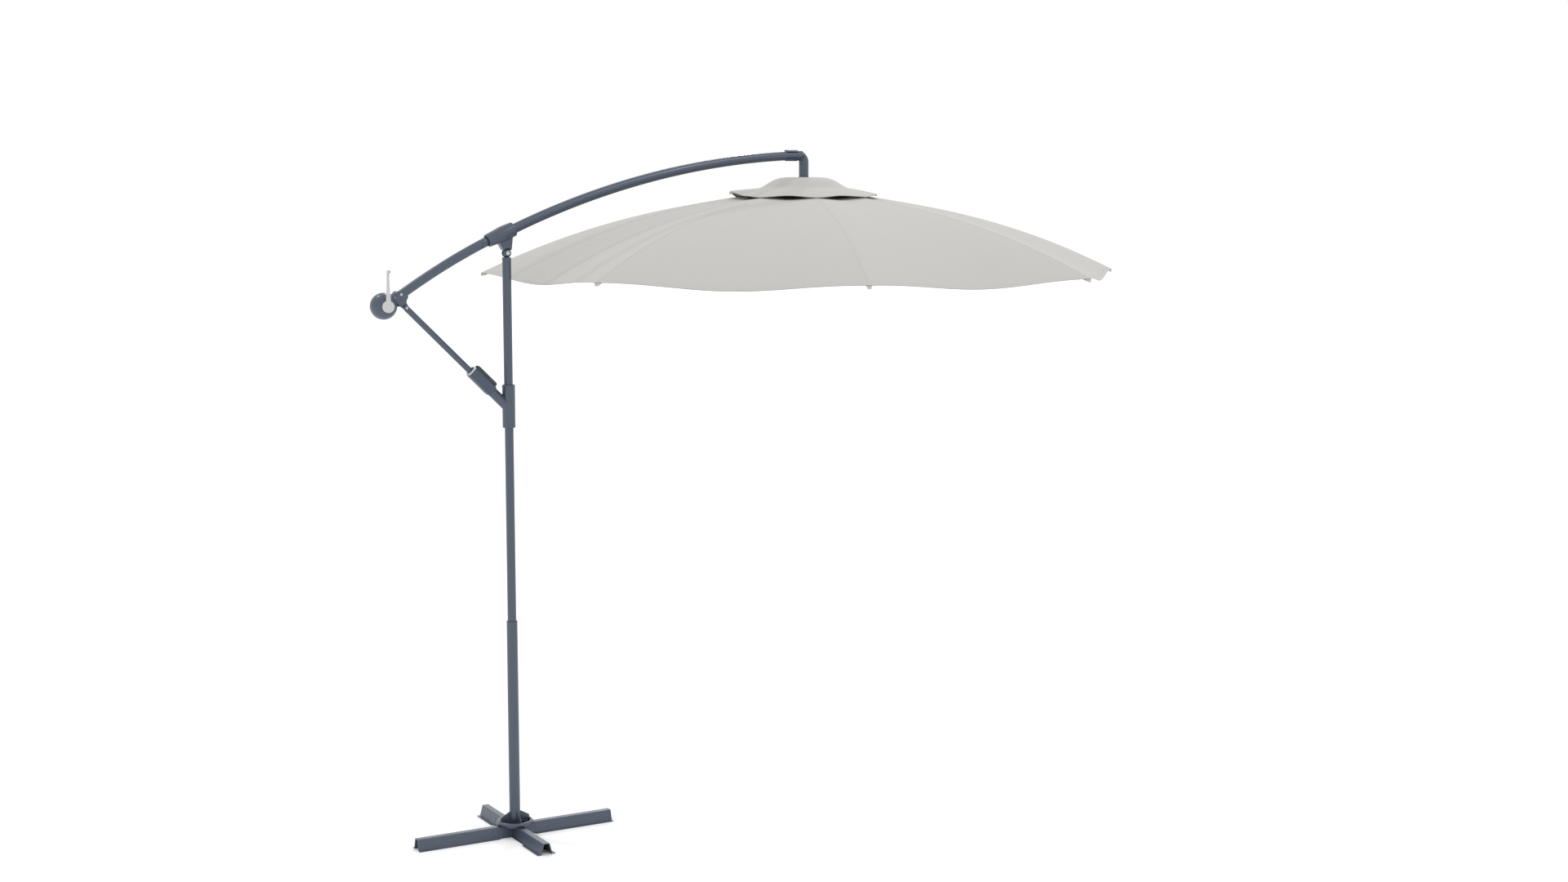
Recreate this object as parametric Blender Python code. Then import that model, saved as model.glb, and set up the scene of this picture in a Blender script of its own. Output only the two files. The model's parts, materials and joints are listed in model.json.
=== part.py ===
"""Cantilever parasol: a cross base, a two-part mast, a curved arm hinged on the mast's top, a brace
rod with a sliding collar, a crank, and an eight-rib canopy that folds. Metres, +Z up.

The origin is on the floor, on the mast's axis. +X points from the mast towards the canopy, and the
arm lies in the XZ plane. Brace parts are placed on the slanted brace axis through the brace pivot.
"""
import math

import bmesh
import bpy
from mathutils import Matrix, Vector

GAP = 0.0003                 # clearance between neighbouring parts
BORE_GAP = 0.0005            # wider clearance of a bore around a bent tube
OVERRUN = 0.010              # how far a cutter runs past the part that it cuts
SHARP_ANGLE = math.radians(35)
QUARTER_TURN = Matrix.Rotation(math.radians(90), 4, "X")   # lays a Z axis along -Y

# Cross base: hat-section arms over the tongues of a central hub
SHEET = 0.003                # wall of the hat section
HAT_HEIGHT = 0.045
HAT_TOP = 0.0135             # half width of the flat top
HAT_FOOT = 0.0245            # half width where the walls meet the lips
HAT_LIP = 0.0380             # half width over the lips
BASE_X = 0.420               # reach of the arms along X
BASE_Y = 0.3126              # reach of the arms along Y
HUB_X = 0.079                # visible half length of the hub along X
HUB_Y = 0.160                # visible half length of the hub along Y
HUB_LIP = 0.0290             # half width over the hub's narrower lips
TONGUE = 0.050               # length of each tongue inside an arm
PAD_RADIUS = 0.055
PAD_THICKNESS = 0.006
BOLT_R = 0.006
BOLT_HEAD_R = 0.0105
BOLT_HEAD = 0.008
BOLT_RECESS = 0.005          # the bolt's end below the top of its spigot
WASHER_R = 0.0125
WASHER = 0.0016
WASHER_SPACE = 0.002
CENTRE_FOOT_R = 0.0140       # foot under the bolt's head, level with the lips
BOLT_POCKET_R = 0.015

# Mast foot: plate, rolled rim, spigot and gusset fins
FOOT_Z = HAT_HEIGHT + GAP
FOOT_PLATE = 0.005
FOOT_TOP = FOOT_Z + FOOT_PLATE
RIM_R = 0.0655
RIM_HALF_WIDTH = 0.008
RIM_HALF_HEIGHT = 0.009
FIN_HALF = 0.002
FIN_BOTTOM_Z = FOOT_Z + 0.002
FIN_REACH = 0.0615
FIN_TOP_Z = 0.0985
FIN_EDGE_Z = 0.0760
SPIGOT_HEIGHT = 0.060

# Mast
LOWER_R = 0.0217
UPPER_R = 0.0175
TUBE_WALL = 0.0016
LOWER_TOP_Z = 0.877
UPPER_BOTTOM_Z = 0.700
BUSH_BOTTOM_Z = 0.760
BUSH_RECESS = 0.002
UPPER_TOP_Z = 2.3240
TILT_Z = 2.3410              # tilt pivot on the mast's axis
SHANK = 0.045                # length of the knuckle's shank inside the tube
SHANK_NECK = 0.003           # the shank widens this far below the tube's end
SLOT_CLEARANCE = 0.002
KNUCKLE_R = 0.0185
KNUCKLE_FLAT = 0.0165        # half width across the knuckle's spot faces
FACE_DROP = 0.014            # the spot faces start this far below the pivot
LUG_HALF = 0.0050            # half thickness of the neck's lug and the bracket's lug
LUG_R = 0.0120
PIN_R = 0.0040
PIN_HEAD_R = 0.0080
PIN_HEAD = 0.0030
SMALL_HEAD_R = 0.0052        # heads of the bracket's bolt and of the brace's pin
SMALL_HEAD = 0.0022

# Arm: two tubes on circular arcs in the XZ plane
ARM_LOW_CENTRE = (1.1129, -0.1575)
ARM_LOW_RADIUS = 2.8118
ARM_HIGH_CENTRE = (1.4402, -0.7787)
ARM_HIGH_RADIUS = 3.5087
ARM_LOW_R = 0.0184
ARM_HIGH_R = 0.0190
ARM_START_X = -0.468
ARM_JOINT_X = -0.106         # end of the lower tube
RING_END_X = -0.085
SADDLE_START = (-0.0804, 2.3890)
SADDLE_END = (0.0306, 2.4344)
SADDLE_R = 0.0270
SADDLE_BORE = 0.0206
SADDLE_CHAMFER = 0.002
BOSS_R = 0.0315
BOSS_AT = 0.60               # share of the saddle's length
NECK_HALF = 0.0165           # half width of the saddle's neck
NECK_FOOT_Z = TILT_Z + 0.0115
SADDLE_NECK = ((-0.0175, NECK_FOOT_Z), (-0.0345, 2.3800), (-0.0200, 2.4020),
               (0.0150, 2.4160), (0.0225, 2.4040), (0.0165, NECK_FOOT_Z))
LUG_TOP = (0.0110, 2.3760)   # half width and height of the lug's upper end
RING_SLACK = 0.0013          # clearance of the coupling ring's spigot in the tubes
RING_LOW_SPIGOT = 0.040
RING_HIGH_SPIGOT = 0.072
RING_CHAMFER = 0.0012
UPPER_START_X = -0.003       # end of the upper tube inside the saddle
REACH = 1.350                # canopy axis from the mast's axis
ELBOW_Z = 2.7273             # height of the arm's axis at the elbow
ELBOW_CLAMP_X = 1.262
ELBOW_BEND = 0.028
ELBOW_CLAMP_R = 0.0235
ELBOW_CLAMP = 0.0555         # length of the clamp on the arm's end
ARM_END_X = ELBOW_CLAMP_X + 0.042
DROP_R = 0.0203
DROP_TOP_Z = 2.690
ELBOW_SPIGOT = 0.030

# Bracket around the arm's lower end
BRACKET = ((-0.4660, 2.1895), (-0.4610, 2.2012), (-0.4526, 2.2035), (-0.4168, 2.1920),
           (-0.4148, 2.1792), (-0.4221, 2.1675), (-0.4222, 2.1585), (-0.4414, 2.1420),
           (-0.4507, 2.1444))
BRACKET_HALF = 0.0215
BRACKET_BOLT = (-0.4429, 2.1907)
BRACKET_BOLT_R = 0.0030
BRACKET_LUG_R = 0.0105

# Brace: rod, collar and grip on one slanted axis
BRACE_PIVOT = (-0.4174, 2.1377)
BRACE_ANGLE = math.radians(44.6)
ROD_R = 0.0120
ROD_END = 0.460              # along the brace axis from the pivot
ROD_NOSE = 0.0150            # length of the rod above the pivot
ROD_NOSE_R = 0.0075
ROD_SHOULDER = 0.0100
ROD_SLOT_END = 0.0145
ROD_FLAT = 0.0105            # half width across the spot faces of the fork
ROD_FLAT_HALF = 0.008
ROD_FLAT_END = 0.0085
BRACE_PIN_R = 0.0033
BORE_OFFSET = 0.0034         # the collar's bore lies this far above the rod's axis
BORE_R = 0.0163
STUB_R = 0.0200
GRIP_START = 0.3600
GRIP_END = 0.4830
GRIP_HALF = 0.0225
GRIP_CORNER = 0.010
CAP_THICKNESS = 0.006
CAP_INSET = 0.0015
CAP_CORNER = 0.0095
LEVER_LIFT = 0.0045          # clearance between the lever and the grip
LEVER_HALF = 0.010
LEVER_HEIGHT = 0.0085
STUB_BORE_STOP = 0.058       # solid length of the stub before the mast's axis
COLLAR_BOTTOM_Z = 1.6540
COLLAR_TOP_Z = 1.8240
COLLAR_R = 0.0257

# Crank
BALL_X, BALL_Z = -0.5073, 2.1473
BALL_R = 0.0520
BALL_WALL = 0.003
BALL_FLAT = 0.0480           # distance of the flat ends from the ball's centre
FLAT_WALL = 0.005
BLIND_WALL = 0.0015          # wall behind the shaft's blind bearing
NECK_START_X, NECK_END_X = -0.4690, -0.4400
NECK_START_R, NECK_END_R = 0.0275, 0.0215
NECK_EDGE = ((-0.4418, 2.1100), (-0.4515, 2.1438), (-0.4668, 2.1893), (-0.4618, 2.2018),
             (-0.4580, 2.2300), (-0.3800, 2.2300), (-0.3800, 2.1100))   # kept clear for the bracket
SHAFT_R = 0.0070
DRUM_R = 0.0340
DRUM_FLANGE_R = 0.0405
DRUM_HALF = 0.0220
DRUM_FLANGE = 0.003
SHAFT_END_GAP = 0.0025       # from the shaft's back end to the ball's flat
HUB_DISC_R = 0.0230
HUB_DISC_EDGE = 0.0012
HANDLE_FACE = 0.0600
HUB_DISC_WEB = 0.003         # wall of the handle's disc over the shaft's end
HANDLE_ARM = 0.0065          # thickness of the handle's arm
HANDLE_ARM_SINK = 0.0006
HANDLE_PROFILE = ((0.0095, 0.010), (0.0048, 0.1350), (0.0030, 0.1395))   # half width, height
KNOB_Z = 2.2803
KNOB_R = 0.0069
KNOB_BORE_R = 0.0028
KNOB_STUB_R = 0.0025
KNOB_STUB = 0.0125
KNOB_TOP = HANDLE_FACE + 0.0140
KNOB_EDGE = 0.002

# Canopy: rib k points at RIB_PHASE + 45 degrees * k around the canopy axis
RIBS = 8
RIB_PHASE = math.radians(-20.37)
RIB_STEP = 2 * math.pi / RIBS
ARC_CENTRE = (-0.030, -0.5970)   # fabric arc's centre, as radius and height
FABRIC_R = 3.1600
FABRIC = 0.0012
RIB_ARC_R = 3.1500
RIB_HALF_HEIGHT = 0.006
RIB_HALF_WIDTH = 0.005
HINGE_RADIUS = 0.040         # ring of hinges in the top hub and in the runner
TONGUE_HALF = 0.0040
TONGUE_REACH = 0.0200
TRUNNION_R = 0.0020
FORK_HALF_HEIGHT = 0.0045
TRUNNION_HALF = 0.0070
SLOT_HALF = TONGUE_HALF + GAP
HUB_RADIUS = 0.0515
SLOT_START = 0.0290          # radius of the bottom of a hinge slot
HUB_FACE = 0.006             # hinge ring to the hub's face on the canopy's folding side
HUB_BACK = 0.010             # hinge ring to the hub's other face
HUB_SPIGOT = 0.045
RUNNER_BOSS_R = 0.0200
RUNNER_BOSS = 0.030
CORD_HOLE_R = 0.0040
ATTACH_RADIUS = 0.660        # where a stretcher is pivoted on its rib
FORK = 0.062                 # a stretcher's fork: its length before the rivet
FORK_END = 0.006             # and past it
FORK_CHEEK = 0.0024
FORK_WEB = 0.009
RIB_TIP_RADIUS = 1.346
CANOPY_RADIUS = 1.352
VENT_RADIUS = 0.262
SCALLOP_DROP = 0.027         # how far the rim hangs between two ribs
CAP_RADIUS = 0.311
CAP_TOP_Z = 2.6370
CAP_PROFILE = ((DROP_R + 0.0006, 0.0), (0.060, 0.001), (0.121, 0.013), (0.166, 0.030),
               (0.205, 0.052), (CAP_RADIUS, 0.066))   # radius and drop below the top
CAP_SCALLOP_IN = 0.05        # how far the brim is drawn in between two ribs, as a share
CAP_SCALLOP_DROP = 0.007
PANEL_MARGIN = 0.0006        # angle left free between two panels


def arc_height(radius, arc_radius):
    """Height of the rib or fabric arc at a distance from the canopy axis."""
    return ARC_CENTRE[1] + math.sqrt(arc_radius ** 2 - (radius - ARC_CENTRE[0]) ** 2)


HINGE_Z = arc_height(HINGE_RADIUS, RIB_ARC_R)
ATTACH_Z = arc_height(ATTACH_RADIUS, RIB_ARC_R)
STRETCHER = math.dist((HINGE_RADIUS, HINGE_Z), (ATTACH_RADIUS, ATTACH_Z))
RUNNER_Z = 2 * ATTACH_Z - HINGE_Z

# Looks: colour, roughness and metallic
GREY_BLUE = ((0.107, 0.130, 0.165), 0.38, 0.6)
PALE_PLASTIC = ((0.52, 0.52, 0.51), 0.45, 0.0)
DARK_PLASTIC = ((0.030, 0.034, 0.040), 0.50, 0.0)
STEEL = ((0.55, 0.56, 0.57), 0.30, 1.0)
CLOTH = ((0.59, 0.58, 0.55), 0.90, 0.0)


def clear_scene():
    for old in list(bpy.data.objects):
        bpy.data.objects.remove(old, do_unlink=True)


def material(name, look):
    colour, roughness, metallic = look
    found = bpy.data.materials.get(name)
    if found:
        return found
    made = bpy.data.materials.new(name)
    made.use_nodes = True
    shader = made.node_tree.nodes["Principled BSDF"]
    shader.inputs["Base Color"].default_value = (*colour, 1.0)
    shader.inputs["Roughness"].default_value = roughness
    shader.inputs["Metallic"].default_value = metallic
    return made


def place(name, bm, look=None, matrix=None, parent=None):
    """Turn a bmesh into a named object, with its normals outward and its material on it."""
    bmesh.ops.recalc_face_normals(bm, faces=bm.faces)
    mesh = bpy.data.meshes.new(name)
    bm.to_mesh(mesh)
    bm.free()
    mesh.shade_smooth()
    mesh.set_sharp_from_angle(angle=SHARP_ANGLE)
    part = bpy.data.objects.new(name, mesh)
    bpy.context.scene.collection.objects.link(part)
    if look:
        part.data.materials.append(material(name + "_look", look))
    if parent:
        part.parent = parent
    if matrix:
        part.matrix_basis = matrix
    return part


def pivot(name, location, parent=None):
    """An empty on a joint's axis, for the moving pieces that hang on it."""
    empty = bpy.data.objects.new(name, None)
    empty.empty_display_size = 0.05
    empty.location = location
    bpy.context.scene.collection.objects.link(empty)
    if parent:
        hang([name], parent)
    return empty


def hang(names, parent):
    """Parent the named parts to a pivot without moving them."""
    bpy.context.view_layer.update()
    for name in names:
        part = bpy.data.objects[name]
        part.parent = parent
        part.matrix_parent_inverse = parent.matrix_world.inverted()


def boolean(part, tool, operation):
    """Join or cut with a hidden tool that stays in the scene as a guide."""
    tool.hide_render = True
    tool.display_type = "WIRE"
    step = part.modifiers.new(operation.lower(), "BOOLEAN")
    step.operation = operation
    step.solver = "EXACT"
    step.object = tool


def lathe(profile, segments=20, closed=True):
    """A solid turned around Z. A closed profile is a ring; an open one starts and ends at r = 0."""
    bm = bmesh.new()
    rings = []
    for radius, height in profile:
        if radius < 1e-9:
            rings.append([bm.verts.new((0, 0, height))])
            continue
        ring = []
        for step in range(segments):
            angle = 2 * math.pi * step / segments
            ring.append(bm.verts.new((radius * math.cos(angle), radius * math.sin(angle), height)))
        rings.append(ring)
    for low, high in zip(rings, rings[1:] + rings[:1] if closed else rings[1:]):
        if len(low) == 1 and len(high) == 1:
            continue
        for step in range(segments):
            after = (step + 1) % segments
            if len(low) == 1:
                bm.faces.new((low[0], high[after], high[step]))
            elif len(high) == 1:
                bm.faces.new((low[step], low[after], high[0]))
            else:
                bm.faces.new((low[step], low[after], high[after], high[step]))
    return bm


def tube(outer, inner, low, high, segments=20):
    return lathe([(outer, low), (outer, high), (inner, high), (inner, low)], segments)


def arc(centre, radius, start, end, steps):
    """Points on an arc, as (first, second) pairs; the angles are in degrees."""
    angles = [math.radians(start + (end - start) * k / steps) for k in range(steps + 1)]
    return [(centre[0] + radius * math.cos(a), centre[1] + radius * math.sin(a)) for a in angles]


def prism(outline, low, high, axis="Y"):
    """An outline extruded along an axis: (x, z) points for Y, (y, z) points for X, (x, y) for Z."""
    lift = {
        "X": lambda p, s: (s, p[0], p[1]),
        "Y": lambda p, s: (p[0], s, p[1]),
        "Z": lambda p, s: (p[0], p[1], s),
    }[axis]
    bm = bmesh.new()
    near = [bm.verts.new(lift(p, low)) for p in outline]
    far = [bm.verts.new(lift(p, high)) for p in outline]
    bm.faces.new(near)
    bm.faces.new(far)
    for k in range(len(outline)):
        after = (k + 1) % len(outline)
        bm.faces.new((near[k], near[after], far[after], far[k]))
    return bm


def disc(radius, low, high, segments=20):
    return prism(arc((0, 0), radius, 0, 360, segments)[:-1], low, high, "Z")


def box(low, high):
    return prism([(low[0], low[2]), (high[0], low[2]), (high[0], high[2]), (low[0], high[2])],
                 low[1], high[1])


def sweep(path, outer, inner=0.0, segments=14):
    """A round tube, or a rod where inner is 0, along (x, z) points of the arm plane."""
    bm = bmesh.new()
    rings = {outer: [], inner: []}
    for k, point in enumerate(path):
        before, after = path[max(k - 1, 0)], path[min(k + 1, len(path) - 1)]
        along = Vector((after[0] - before[0], 0, after[1] - before[1])).normalized()
        across = Vector((-along.z, 0, along.x))
        for radius in rings:
            if radius <= 0:
                continue
            ring = []
            for step in range(segments):
                angle = 2 * math.pi * step / segments
                offset = across * (radius * math.cos(angle)) + Vector((0, radius * math.sin(angle), 0))
                ring.append(bm.verts.new(Vector((point[0], 0, point[1])) + offset))
            rings[radius].append(ring)
    for radius in (outer, inner):
        for low, high in zip(rings[radius], rings[radius][1:]):
            for step in range(segments):
                after = (step + 1) % segments
                bm.faces.new((low[step], low[after], high[after], high[step]))
    for end in (0, -1):
        if inner > 0:
            out, hole = rings[outer][end], rings[inner][end]
            for step in range(segments):
                after = (step + 1) % segments
                bm.faces.new((out[step], out[after], hole[after], hole[step]))
        else:
            bm.faces.new(rings[outer][end])
    return bm


def along_y(x, z):
    """A turned part's Z axis laid along -Y, through (x, z) of the arm plane."""
    return Matrix.Translation((x, 0, z)) @ QUARTER_TURN


def along_x(x, y, z):
    return Matrix.Translation((x, y, z)) @ Matrix.Rotation(math.radians(90), 4, "Y")


def rod_matrix(start, end):
    """Z axis from one (x, z) point of the arm plane to another."""
    angle = math.atan2(end[0] - start[0], end[1] - start[1])
    return Matrix.Translation((start[0], 0, start[1])) @ Matrix.Rotation(angle, 4, "Y")


def arm_low_z(x):
    return ARM_LOW_CENTRE[1] + math.sqrt(ARM_LOW_RADIUS ** 2 - (x - ARM_LOW_CENTRE[0]) ** 2)


def arm_high_z(x):
    return ARM_HIGH_CENTRE[1] + math.sqrt(ARM_HIGH_RADIUS ** 2 - (x - ARM_HIGH_CENTRE[0]) ** 2)


def arc_path(height, start, end, steps):
    xs = [start + (end - start) * k / steps for k in range(steps + 1)]
    return [(x, height(x)) for x in xs]


def hat_outline():
    """Closed outline of a hat section, as (across, height)."""
    right = [(HAT_LIP, 0), (HAT_LIP, SHEET), (HAT_FOOT, SHEET), (HAT_TOP, HAT_HEIGHT)]
    inner = [(HAT_TOP - SHEET, HAT_HEIGHT - SHEET), (HAT_FOOT - SHEET, 0)]
    outline = [(-u, v) for u, v in right] + right[::-1]
    return outline + [(u, v) for u, v in inner[::-1]] + [(-u, v) for u, v in inner]


def solid_outline(inset, bottom=0.0):
    top, foot, height = HAT_TOP - inset, HAT_FOOT - inset, HAT_HEIGHT - inset
    return [(-foot, bottom), (-top, height), (top, height), (foot, bottom)]


def make_base():
    """Four arms and the cross hub that they slide over."""
    spans = (
        ("base_arm_left", "X", -BASE_X, -HUB_X - GAP),
        ("base_arm_right", "X", HUB_X + GAP, BASE_X),
        ("base_arm_front", "Y", -BASE_Y, -HUB_Y - GAP),
        ("base_arm_back", "Y", HUB_Y + GAP, BASE_Y),
    )
    for name, axis, low, high in spans:
        place(name, prism(hat_outline(), low, high, axis), GREY_BLUE)
    inside = SHEET + GAP
    hub = place("cross_hub", prism(solid_outline(0), -HUB_X, HUB_X, "X"), GREY_BLUE)
    lips = [(-HUB_LIP, 0), (-HUB_LIP, SHEET), (HUB_LIP, SHEET), (HUB_LIP, 0)]
    joined = (
        ("hub_bar_y", prism(solid_outline(0), -HUB_Y, HUB_Y, "Y")),
        ("hub_tongue_x", prism(solid_outline(inside), -HUB_X - TONGUE, HUB_X + TONGUE, "X")),
        ("hub_tongue_y", prism(solid_outline(inside), -HUB_Y - TONGUE, HUB_Y + TONGUE, "Y")),
        ("hub_lips_x", prism(lips, -HUB_X, HUB_X, "X")),
        ("hub_lips_y", prism(lips, -HUB_Y, HUB_Y, "Y")),
        ("hub_pad", disc(PAD_RADIUS, HAT_HEIGHT - PAD_THICKNESS, HAT_HEIGHT)),
    )
    for name, bm in joined:
        boolean(hub, place(name, bm), "UNION")
    reach_x = HUB_X + TONGUE + OVERRUN
    reach_y = HUB_Y + TONGUE + OVERRUN
    void = solid_outline(inside + SHEET, -OVERRUN)
    pocket_top = HAT_HEIGHT - PAD_THICKNESS - GAP
    cut = (
        ("hub_void_x", prism(void, -reach_x, reach_x, "X")),
        ("hub_void_y", prism(void, -reach_y, reach_y, "Y")),
        ("hub_bolt_pocket", disc(BOLT_POCKET_R, -OVERRUN, pocket_top)),
        ("hub_bolt_hole", disc(BOLT_R + GAP, 0.0, HAT_HEIGHT + OVERRUN)),
    )
    for name, bm in cut:
        boolean(hub, place(name, bm), "DIFFERENCE")


def make_foot():
    """Plate with a spigot for the mast tube, its rolled rim and four gusset fins, as one weldment."""
    spigot_r = LOWER_R - TUBE_WALL - GAP
    spigot_top = FOOT_TOP + SPIGOT_HEIGHT
    hole = BOLT_R + GAP
    profile = [(hole, FOOT_Z), (RIM_R, FOOT_Z), (RIM_R, FOOT_TOP), (spigot_r, FOOT_TOP),
               (spigot_r, spigot_top), (hole, spigot_top)]
    foot = place("mast_foot", lathe(profile, 24), GREY_BLUE)
    rim_z = FOOT_Z + RIM_HALF_HEIGHT
    rim = [(RIM_R + RIM_HALF_WIDTH * math.cos(a), rim_z + RIM_HALF_HEIGHT * math.sin(a))
           for a in (2 * math.pi * k / 8 for k in range(8))]
    boolean(foot, place("foot_rim", lathe(rim, 24)), "UNION")
    fin = [(LOWER_R + GAP, FIN_BOTTOM_Z), (LOWER_R + GAP, FIN_TOP_Z),
           (FIN_REACH, FIN_EDGE_Z), (FIN_REACH, FIN_BOTTOM_Z)]
    for k in range(4):
        turn = Matrix.Rotation(math.radians(90 * k), 4, "Z")
        tool = place(f"foot_fin_{k + 1}", prism(fin, -FIN_HALF, FIN_HALF), matrix=turn)
        boolean(foot, tool, "UNION")


def make_centre_bolt():
    """The bolt that holds the foot on the hub from below, its washer and the small foot under it."""
    head_top = HAT_HEIGHT - PAD_THICKNESS - 2 * GAP - WASHER_SPACE
    head_bottom = head_top - BOLT_HEAD
    end = FOOT_TOP + SPIGOT_HEIGHT - BOLT_RECESS
    bolt = [(0, head_bottom), (BOLT_HEAD_R, head_bottom), (BOLT_HEAD_R, head_top),
            (BOLT_R, head_top), (BOLT_R, end), (0, end)]
    place("centre_bolt", lathe(bolt, 12, closed=False), STEEL)
    low = head_top + GAP
    place("centre_washer", tube(WASHER_R, BOLT_R + GAP, low, low + WASHER, 16), STEEL)
    place("centre_foot", disc(CENTRE_FOOT_R, 0, head_bottom - GAP, 16), DARK_PLASTIC)


def make_mast():
    """Two telescoped tubes with a bush between them, and the knuckle that carries the arm."""
    lower = tube(LOWER_R, LOWER_R - TUBE_WALL, FOOT_TOP + GAP, LOWER_TOP_Z)
    place("mast_lower_tube", lower, GREY_BLUE)
    upper = tube(UPPER_R, UPPER_R - TUBE_WALL, UPPER_BOTTOM_Z, UPPER_TOP_Z)
    place("mast_upper_tube", upper, GREY_BLUE)
    bush_r = LOWER_R - TUBE_WALL - GAP
    bush = tube(bush_r, UPPER_R + GAP, BUSH_BOTTOM_Z, LOWER_TOP_Z - BUSH_RECESS)
    place("mast_bush", bush, DARK_PLASTIC)

    shank_r = UPPER_R - TUBE_WALL - GAP
    shank = [(0, UPPER_TOP_Z - SHANK), (shank_r, UPPER_TOP_Z - SHANK),
             (shank_r, UPPER_TOP_Z - SHANK_NECK)]
    ball = arc((0, TILT_Z), KNUCKLE_R, -78, 90, 8)[1:-1]
    profile = shank + ball + [(0, TILT_Z + KNUCKLE_R)]
    knuckle = place("mast_knuckle", lathe(profile, closed=False), GREY_BLUE)
    wide, top = 0.03, TILT_Z + 0.03
    slot = LUG_HALF + GAP
    slot_bottom = TILT_Z - LUG_R - SLOT_CLEARANCE
    face_bottom = TILT_Z - FACE_DROP
    cuts = (
        ("knuckle_slot", box((-wide, -slot, slot_bottom), (wide, slot, top)), None),
        ("knuckle_pin_hole", disc(PIN_R + GAP, -wide, wide, 12), along_y(0, TILT_Z)),
        ("knuckle_face_front", box((-wide, -wide, face_bottom), (wide, -KNUCKLE_FLAT, top)), None),
        ("knuckle_face_back", box((-wide, KNUCKLE_FLAT, face_bottom), (wide, wide, top)), None),
    )
    for name, bm, matrix in cuts:
        boolean(knuckle, place(name, bm, matrix=matrix), "DIFFERENCE")
    pin = rivet(KNUCKLE_FLAT + GAP, PIN_R, PIN_HEAD_R, PIN_HEAD)
    place("tilt_pin", pin, STEEL, along_y(0, TILT_Z))


def rivet(half_grip, radius, head_radius, head_height):
    """A pin along Z with a domed head at both ends."""
    edge, crown = head_height * 0.5, head_radius * 0.6
    profile = [(0, -half_grip - head_height), (crown, -half_grip - head_height),
               (head_radius, -half_grip - edge), (head_radius, -half_grip), (radius, -half_grip)]
    mirrored = [(r, -z) for r, z in profile[::-1]]
    return lathe(profile + mirrored, 12, closed=False)


def make_saddle():
    """The sleeve that carries the arm, with its neck and the lug in the knuckle's slot."""
    length = math.dist(SADDLE_START, SADDLE_END)
    to_world = rod_matrix(SADDLE_START, SADDLE_END)
    sleeve = [(0, 0), (SADDLE_R - SADDLE_CHAMFER, 0), (SADDLE_R, SADDLE_CHAMFER),
              (SADDLE_R, length - SADDLE_CHAMFER), (SADDLE_R - SADDLE_CHAMFER, length), (0, length)]
    saddle = place("arm_saddle", lathe(sleeve, 24, closed=False), GREY_BLUE, to_world)
    boss = arc((0, 0), BOSS_R, -72, 72, 8)
    boss_mesh = lathe([(0, -BOSS_R)] + boss + [(0, BOSS_R)], 16, closed=False)
    at_boss = to_world @ Matrix.Translation((0, 0, length * BOSS_AT))
    boolean(saddle, place("saddle_boss", boss_mesh, matrix=at_boss), "UNION")
    boolean(saddle, place("saddle_neck", prism(SADDLE_NECK, -NECK_HALF, NECK_HALF)), "UNION")
    clear = disc(KNUCKLE_R + 0.0010, -0.03, 0.03)
    tool = place("saddle_knuckle_clearance", clear, matrix=along_y(0, TILT_Z))
    boolean(saddle, tool, "DIFFERENCE")
    half, top = LUG_TOP
    round_end = arc((0, TILT_Z), LUG_R, 195, 345, 6)
    lug = [(-half, top), (-LUG_R, TILT_Z)] + round_end + [(LUG_R, TILT_Z), (half, top)]
    boolean(saddle, place("saddle_lug", prism(lug, -LUG_HALF, LUG_HALF)), "UNION")
    bore = disc(SADDLE_BORE, -OVERRUN, length + OVERRUN)
    boolean(saddle, place("saddle_bore", bore, matrix=to_world), "DIFFERENCE")
    hole = disc(PIN_R + GAP, -0.03, 0.03, 12)
    boolean(saddle, place("saddle_pin_hole", hole, matrix=along_y(0, TILT_Z)), "DIFFERENCE")


def make_arm():
    """Lower tube, coupling ring and upper tube."""
    low_path = arc_path(arm_low_z, ARM_START_X, ARM_JOINT_X, 6)
    lower = place("arm_lower_tube", sweep(low_path, ARM_LOW_R, ARM_LOW_R - TUBE_WALL), GREY_BLUE)
    bolt_hole = disc(BRACKET_BOLT_R + GAP, -0.05, 0.05, 8)
    tool = place("arm_bolt_hole", bolt_hole, matrix=along_y(*BRACKET_BOLT))
    boolean(lower, tool, "DIFFERENCE")
    high_path = arc_path(arm_high_z, UPPER_START_X, ARM_END_X, 14)
    place("arm_upper_tube", sweep(high_path, ARM_HIGH_R, ARM_HIGH_R - TUBE_WALL), GREY_BLUE)

    start = (ARM_JOINT_X + GAP, arm_low_z(ARM_JOINT_X))
    end = (RING_END_X, arm_low_z(RING_END_X))
    length = math.dist(start, end)
    spigot_r = ARM_LOW_R - TUBE_WALL - RING_SLACK
    edge_r = ARM_LOW_R - RING_CHAMFER
    ring = [(0, -RING_LOW_SPIGOT), (spigot_r, -RING_LOW_SPIGOT), (spigot_r, 0), (edge_r, 0),
            (ARM_LOW_R, RING_CHAMFER), (ARM_LOW_R, length - RING_CHAMFER), (edge_r, length),
            (spigot_r, length), (spigot_r, RING_HIGH_SPIGOT), (0, RING_HIGH_SPIGOT)]
    place("coupling_ring", lathe(ring, closed=False), GREY_BLUE, rod_matrix(start, end))


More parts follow.
